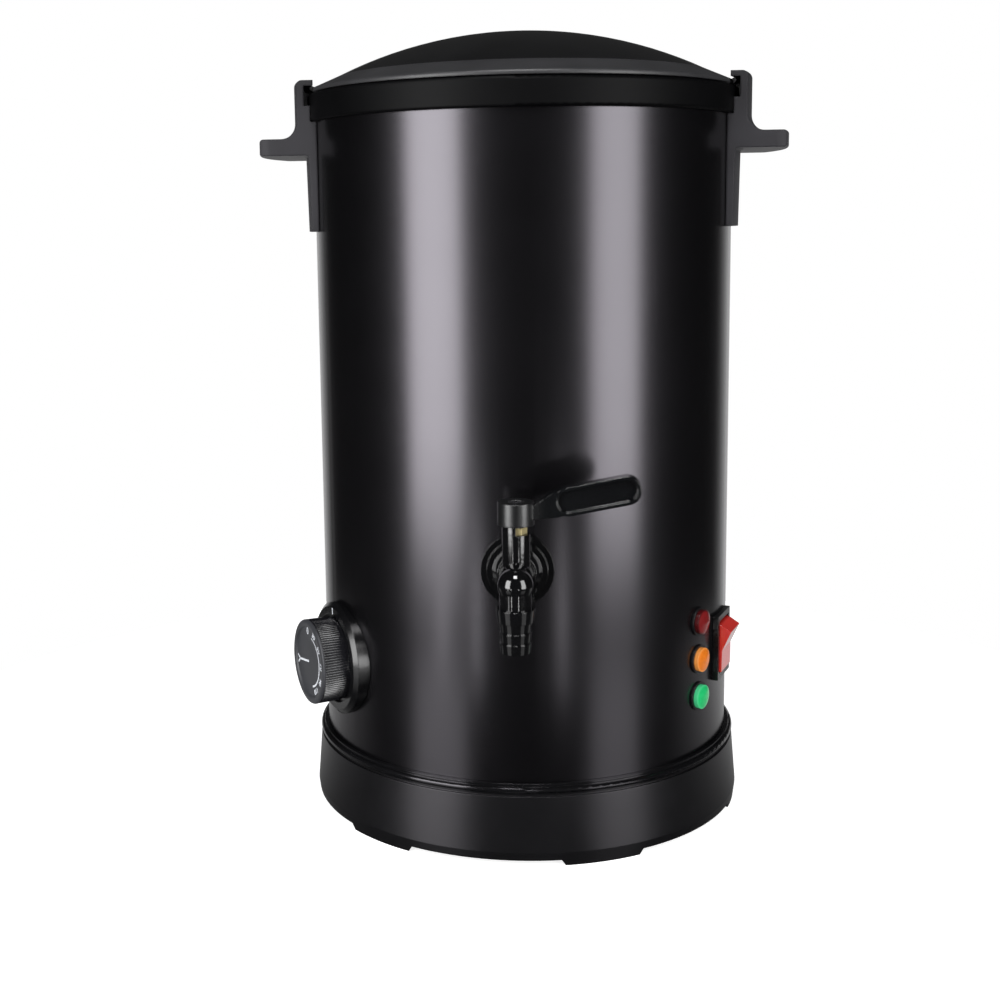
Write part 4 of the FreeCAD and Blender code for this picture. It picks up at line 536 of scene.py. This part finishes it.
def camera():
    """The camera at the fitted place, turned to the fitted direction."""
    data = bpy.data.cameras.new("view")
    data.lens = CAMERA_LENS
    data.sensor_width = CAMERA_SENSOR
    data.shift_x, data.shift_y = CAMERA_SHIFT
    data.clip_start, data.clip_end = CAMERA_CLIP
    flat_right = Vector((math.cos(CAMERA_YAW), -math.sin(CAMERA_YAW), 0))
    flat_ahead = Vector((math.sin(CAMERA_YAW), math.cos(CAMERA_YAW), 0))
    ahead = flat_ahead * math.cos(CAMERA_DIP) - UP * math.sin(CAMERA_DIP)
    level_up = flat_ahead * math.sin(CAMERA_DIP) + UP * math.cos(CAMERA_DIP)
    right = flat_right * math.cos(CAMERA_ROLL) + level_up * math.sin(CAMERA_ROLL)
    up = level_up * math.cos(CAMERA_ROLL) - flat_right * math.sin(CAMERA_ROLL)
    turned = Matrix((right, up, -ahead)).transposed().to_4x4()
    placed = Matrix.Translation((0, -CAMERA_DISTANCE, CAMERA_HEIGHT)) @ turned
    obj = bpy.data.objects.new("view", data)
    obj.matrix_world = Matrix.Rotation(CAMERA_TURN, 4, "Z") @ placed
    scene.collection.objects.link(obj)
    scene.camera = obj


def soft_box(name, azimuth, distance, width, foot, top, power):
    """An upright area light that faces the axis of the body."""
    height = top - foot
    data = bpy.data.lights.new(name, "AREA")
    data.shape = "RECTANGLE"
    data.size, data.size_y = width, height
    data.energy = power
    obj = bpy.data.objects.new(name, data)
    a = math.radians(azimuth)
    back = Vector((math.sin(a), -math.cos(a), 0))
    obj.location = back * distance + UP * (foot + height / 2)
    obj.rotation_mode = "QUATERNION"
    obj.rotation_quaternion = (-back).to_track_quat("-Z", "Y")
    scene.collection.objects.link(obj)


def top_light(distance, height, width, power):
    """A small area light high in front of the body that looks at its middle."""
    data = bpy.data.lights.new("top_light", "AREA")
    data.size = width
    data.energy = power
    obj = bpy.data.objects.new("top_light", data)
    obj.location = (0, -distance, height)
    obj.rotation_mode = "QUATERNION"
    aim = Vector((0, distance, TOP_LIGHT_AIM - height))
    obj.rotation_quaternion = aim.to_track_quat("-Z", "Y")
    scene.collection.objects.link(obj)


def ray_share(tree, in_gloss):
    """Two values: 1 for camera and transmission rays, in_gloss for glossy ones and 0 for the
    others; and 1 for glossy rays alone.
    """
    rays = node_of(tree, "ShaderNodeLightPath").outputs
    gloss = joined(tree, "MULTIPLY", rays["Is Glossy Ray"], in_gloss)
    seen = joined(tree, "MAXIMUM", rays["Is Camera Ray"], rays["Is Transmission Ray"])
    return joined(tree, "MAXIMUM", seen, gloss), rays["Is Glossy Ray"]


def world():
    """White to the camera, a dark room with a white backdrop to gloss, dim light to the rest."""
    made = bpy.data.worlds.new("studio")
    scene.world = made
    made.use_nodes = True
    tree = made.node_tree
    shader = tree.nodes["Background"]
    where = node_of(tree, "ShaderNodeTexCoord").outputs["Generated"]
    parts = node_of(tree, "ShaderNodeSeparateXYZ")
    tree.links.new(where, parts.inputs[0])
    low = spread(tree, parts.outputs["Z"], 1, BACKDROP_HIGH, *BACKDROP_TOP)
    high = spread(tree, parts.outputs["Z"], 1, 0, *BACKDROP_FADE)
    flat = node_of(tree, "ShaderNodeVectorMath", operation="MULTIPLY")
    tree.links.new(where, flat.inputs[0])
    flat.inputs[1].default_value = (1, 1, 0)
    level = node_of(tree, "ShaderNodeVectorMath", operation="NORMALIZE")
    tree.links.new(flat.outputs[0], level.inputs[0])
    turned = node_of(tree, "ShaderNodeSeparateXYZ")
    tree.links.new(level.outputs[0], turned.inputs[0])
    across = spread(tree, turned.outputs["Y"], 0, 1, *BACKDROP_EDGE)
    height = joined(tree, "MULTIPLY", low, high)
    room = spread(tree, parts.outputs["Z"], FLOOR_IN_GLOSS, ROOM_IN_GLOSS, *HORIZON)
    behind = joined(tree, "MAXIMUM", joined(tree, "MULTIPLY", height, across), room)
    share, glossy = ray_share(tree, behind)
    dim = spread(tree, glossy, AMBIENT, 0, start=0, end=1)
    shader.inputs["Color"].default_value = (1, 1, 1, 1)
    tree.links.new(joined(tree, "MAXIMUM", share, dim), shader.inputs["Strength"])


def table():
    """A round white table top that keeps the object's shadow."""
    made = bmesh.new()
    bmesh.ops.create_circle(made, cap_ends=True, segments=TABLE_SIDES, radius=TABLE_RADIUS)
    mesh = bpy.data.meshes.new("table_top")
    made.to_mesh(mesh)
    made.free()
    obj = bpy.data.objects.new("table_top", mesh)
    scene.collection.objects.link(obj)
    material = bpy.data.materials.new("table_white")
    material.use_nodes = True
    tree = material.node_tree
    shader = tree.nodes["Principled BSDF"]
    where = node_of(tree, "ShaderNodeTexCoord").outputs["Object"]
    tone = spread(tree, noise(tree, where, TABLE_BLOTCH), TABLE_ALBEDO * (1 - TABLE_UNEVEN),
                  TABLE_ALBEDO * (1 + TABLE_UNEVEN))
    behind = along(tree, where, "Y", *TABLE_BACK, TABLE_IN_GLOSS, TABLE_BEHIND)
    share, glossy = ray_share(tree, behind)
    lit = node_of(tree, "ShaderNodeMix", data_type="FLOAT")
    tree.links.new(glossy, lit.inputs[0])
    tree.links.new(tone, lit.inputs[2])
    lit.inputs[3].default_value = TABLE_IN_GLOSS
    tree.links.new(lit.outputs[0], shader.inputs["Base Color"])
    sheen = joined(tree, "MULTIPLY", glossy, TABLE_GLOSS)
    tree.links.new(sheen, shader.inputs["Specular IOR Level"])
    shader.inputs["Roughness"].default_value = TABLE_ROUGHNESS
    glow = joined(tree, "MULTIPLY", share, TABLE_GLOW)
    shader.inputs["Emission Color"].default_value = (1, 1, 1, 1)
    tree.links.new(glow, shader.inputs["Emission Strength"])
    dress(obj, material)


camera()
world()
table()
for number, box in enumerate(SOFT_BOXES):
    soft_box("soft_box_%d" % number, *box)
top_light(*TOP_LIGHT)
scene.view_settings.view_transform = "Standard"
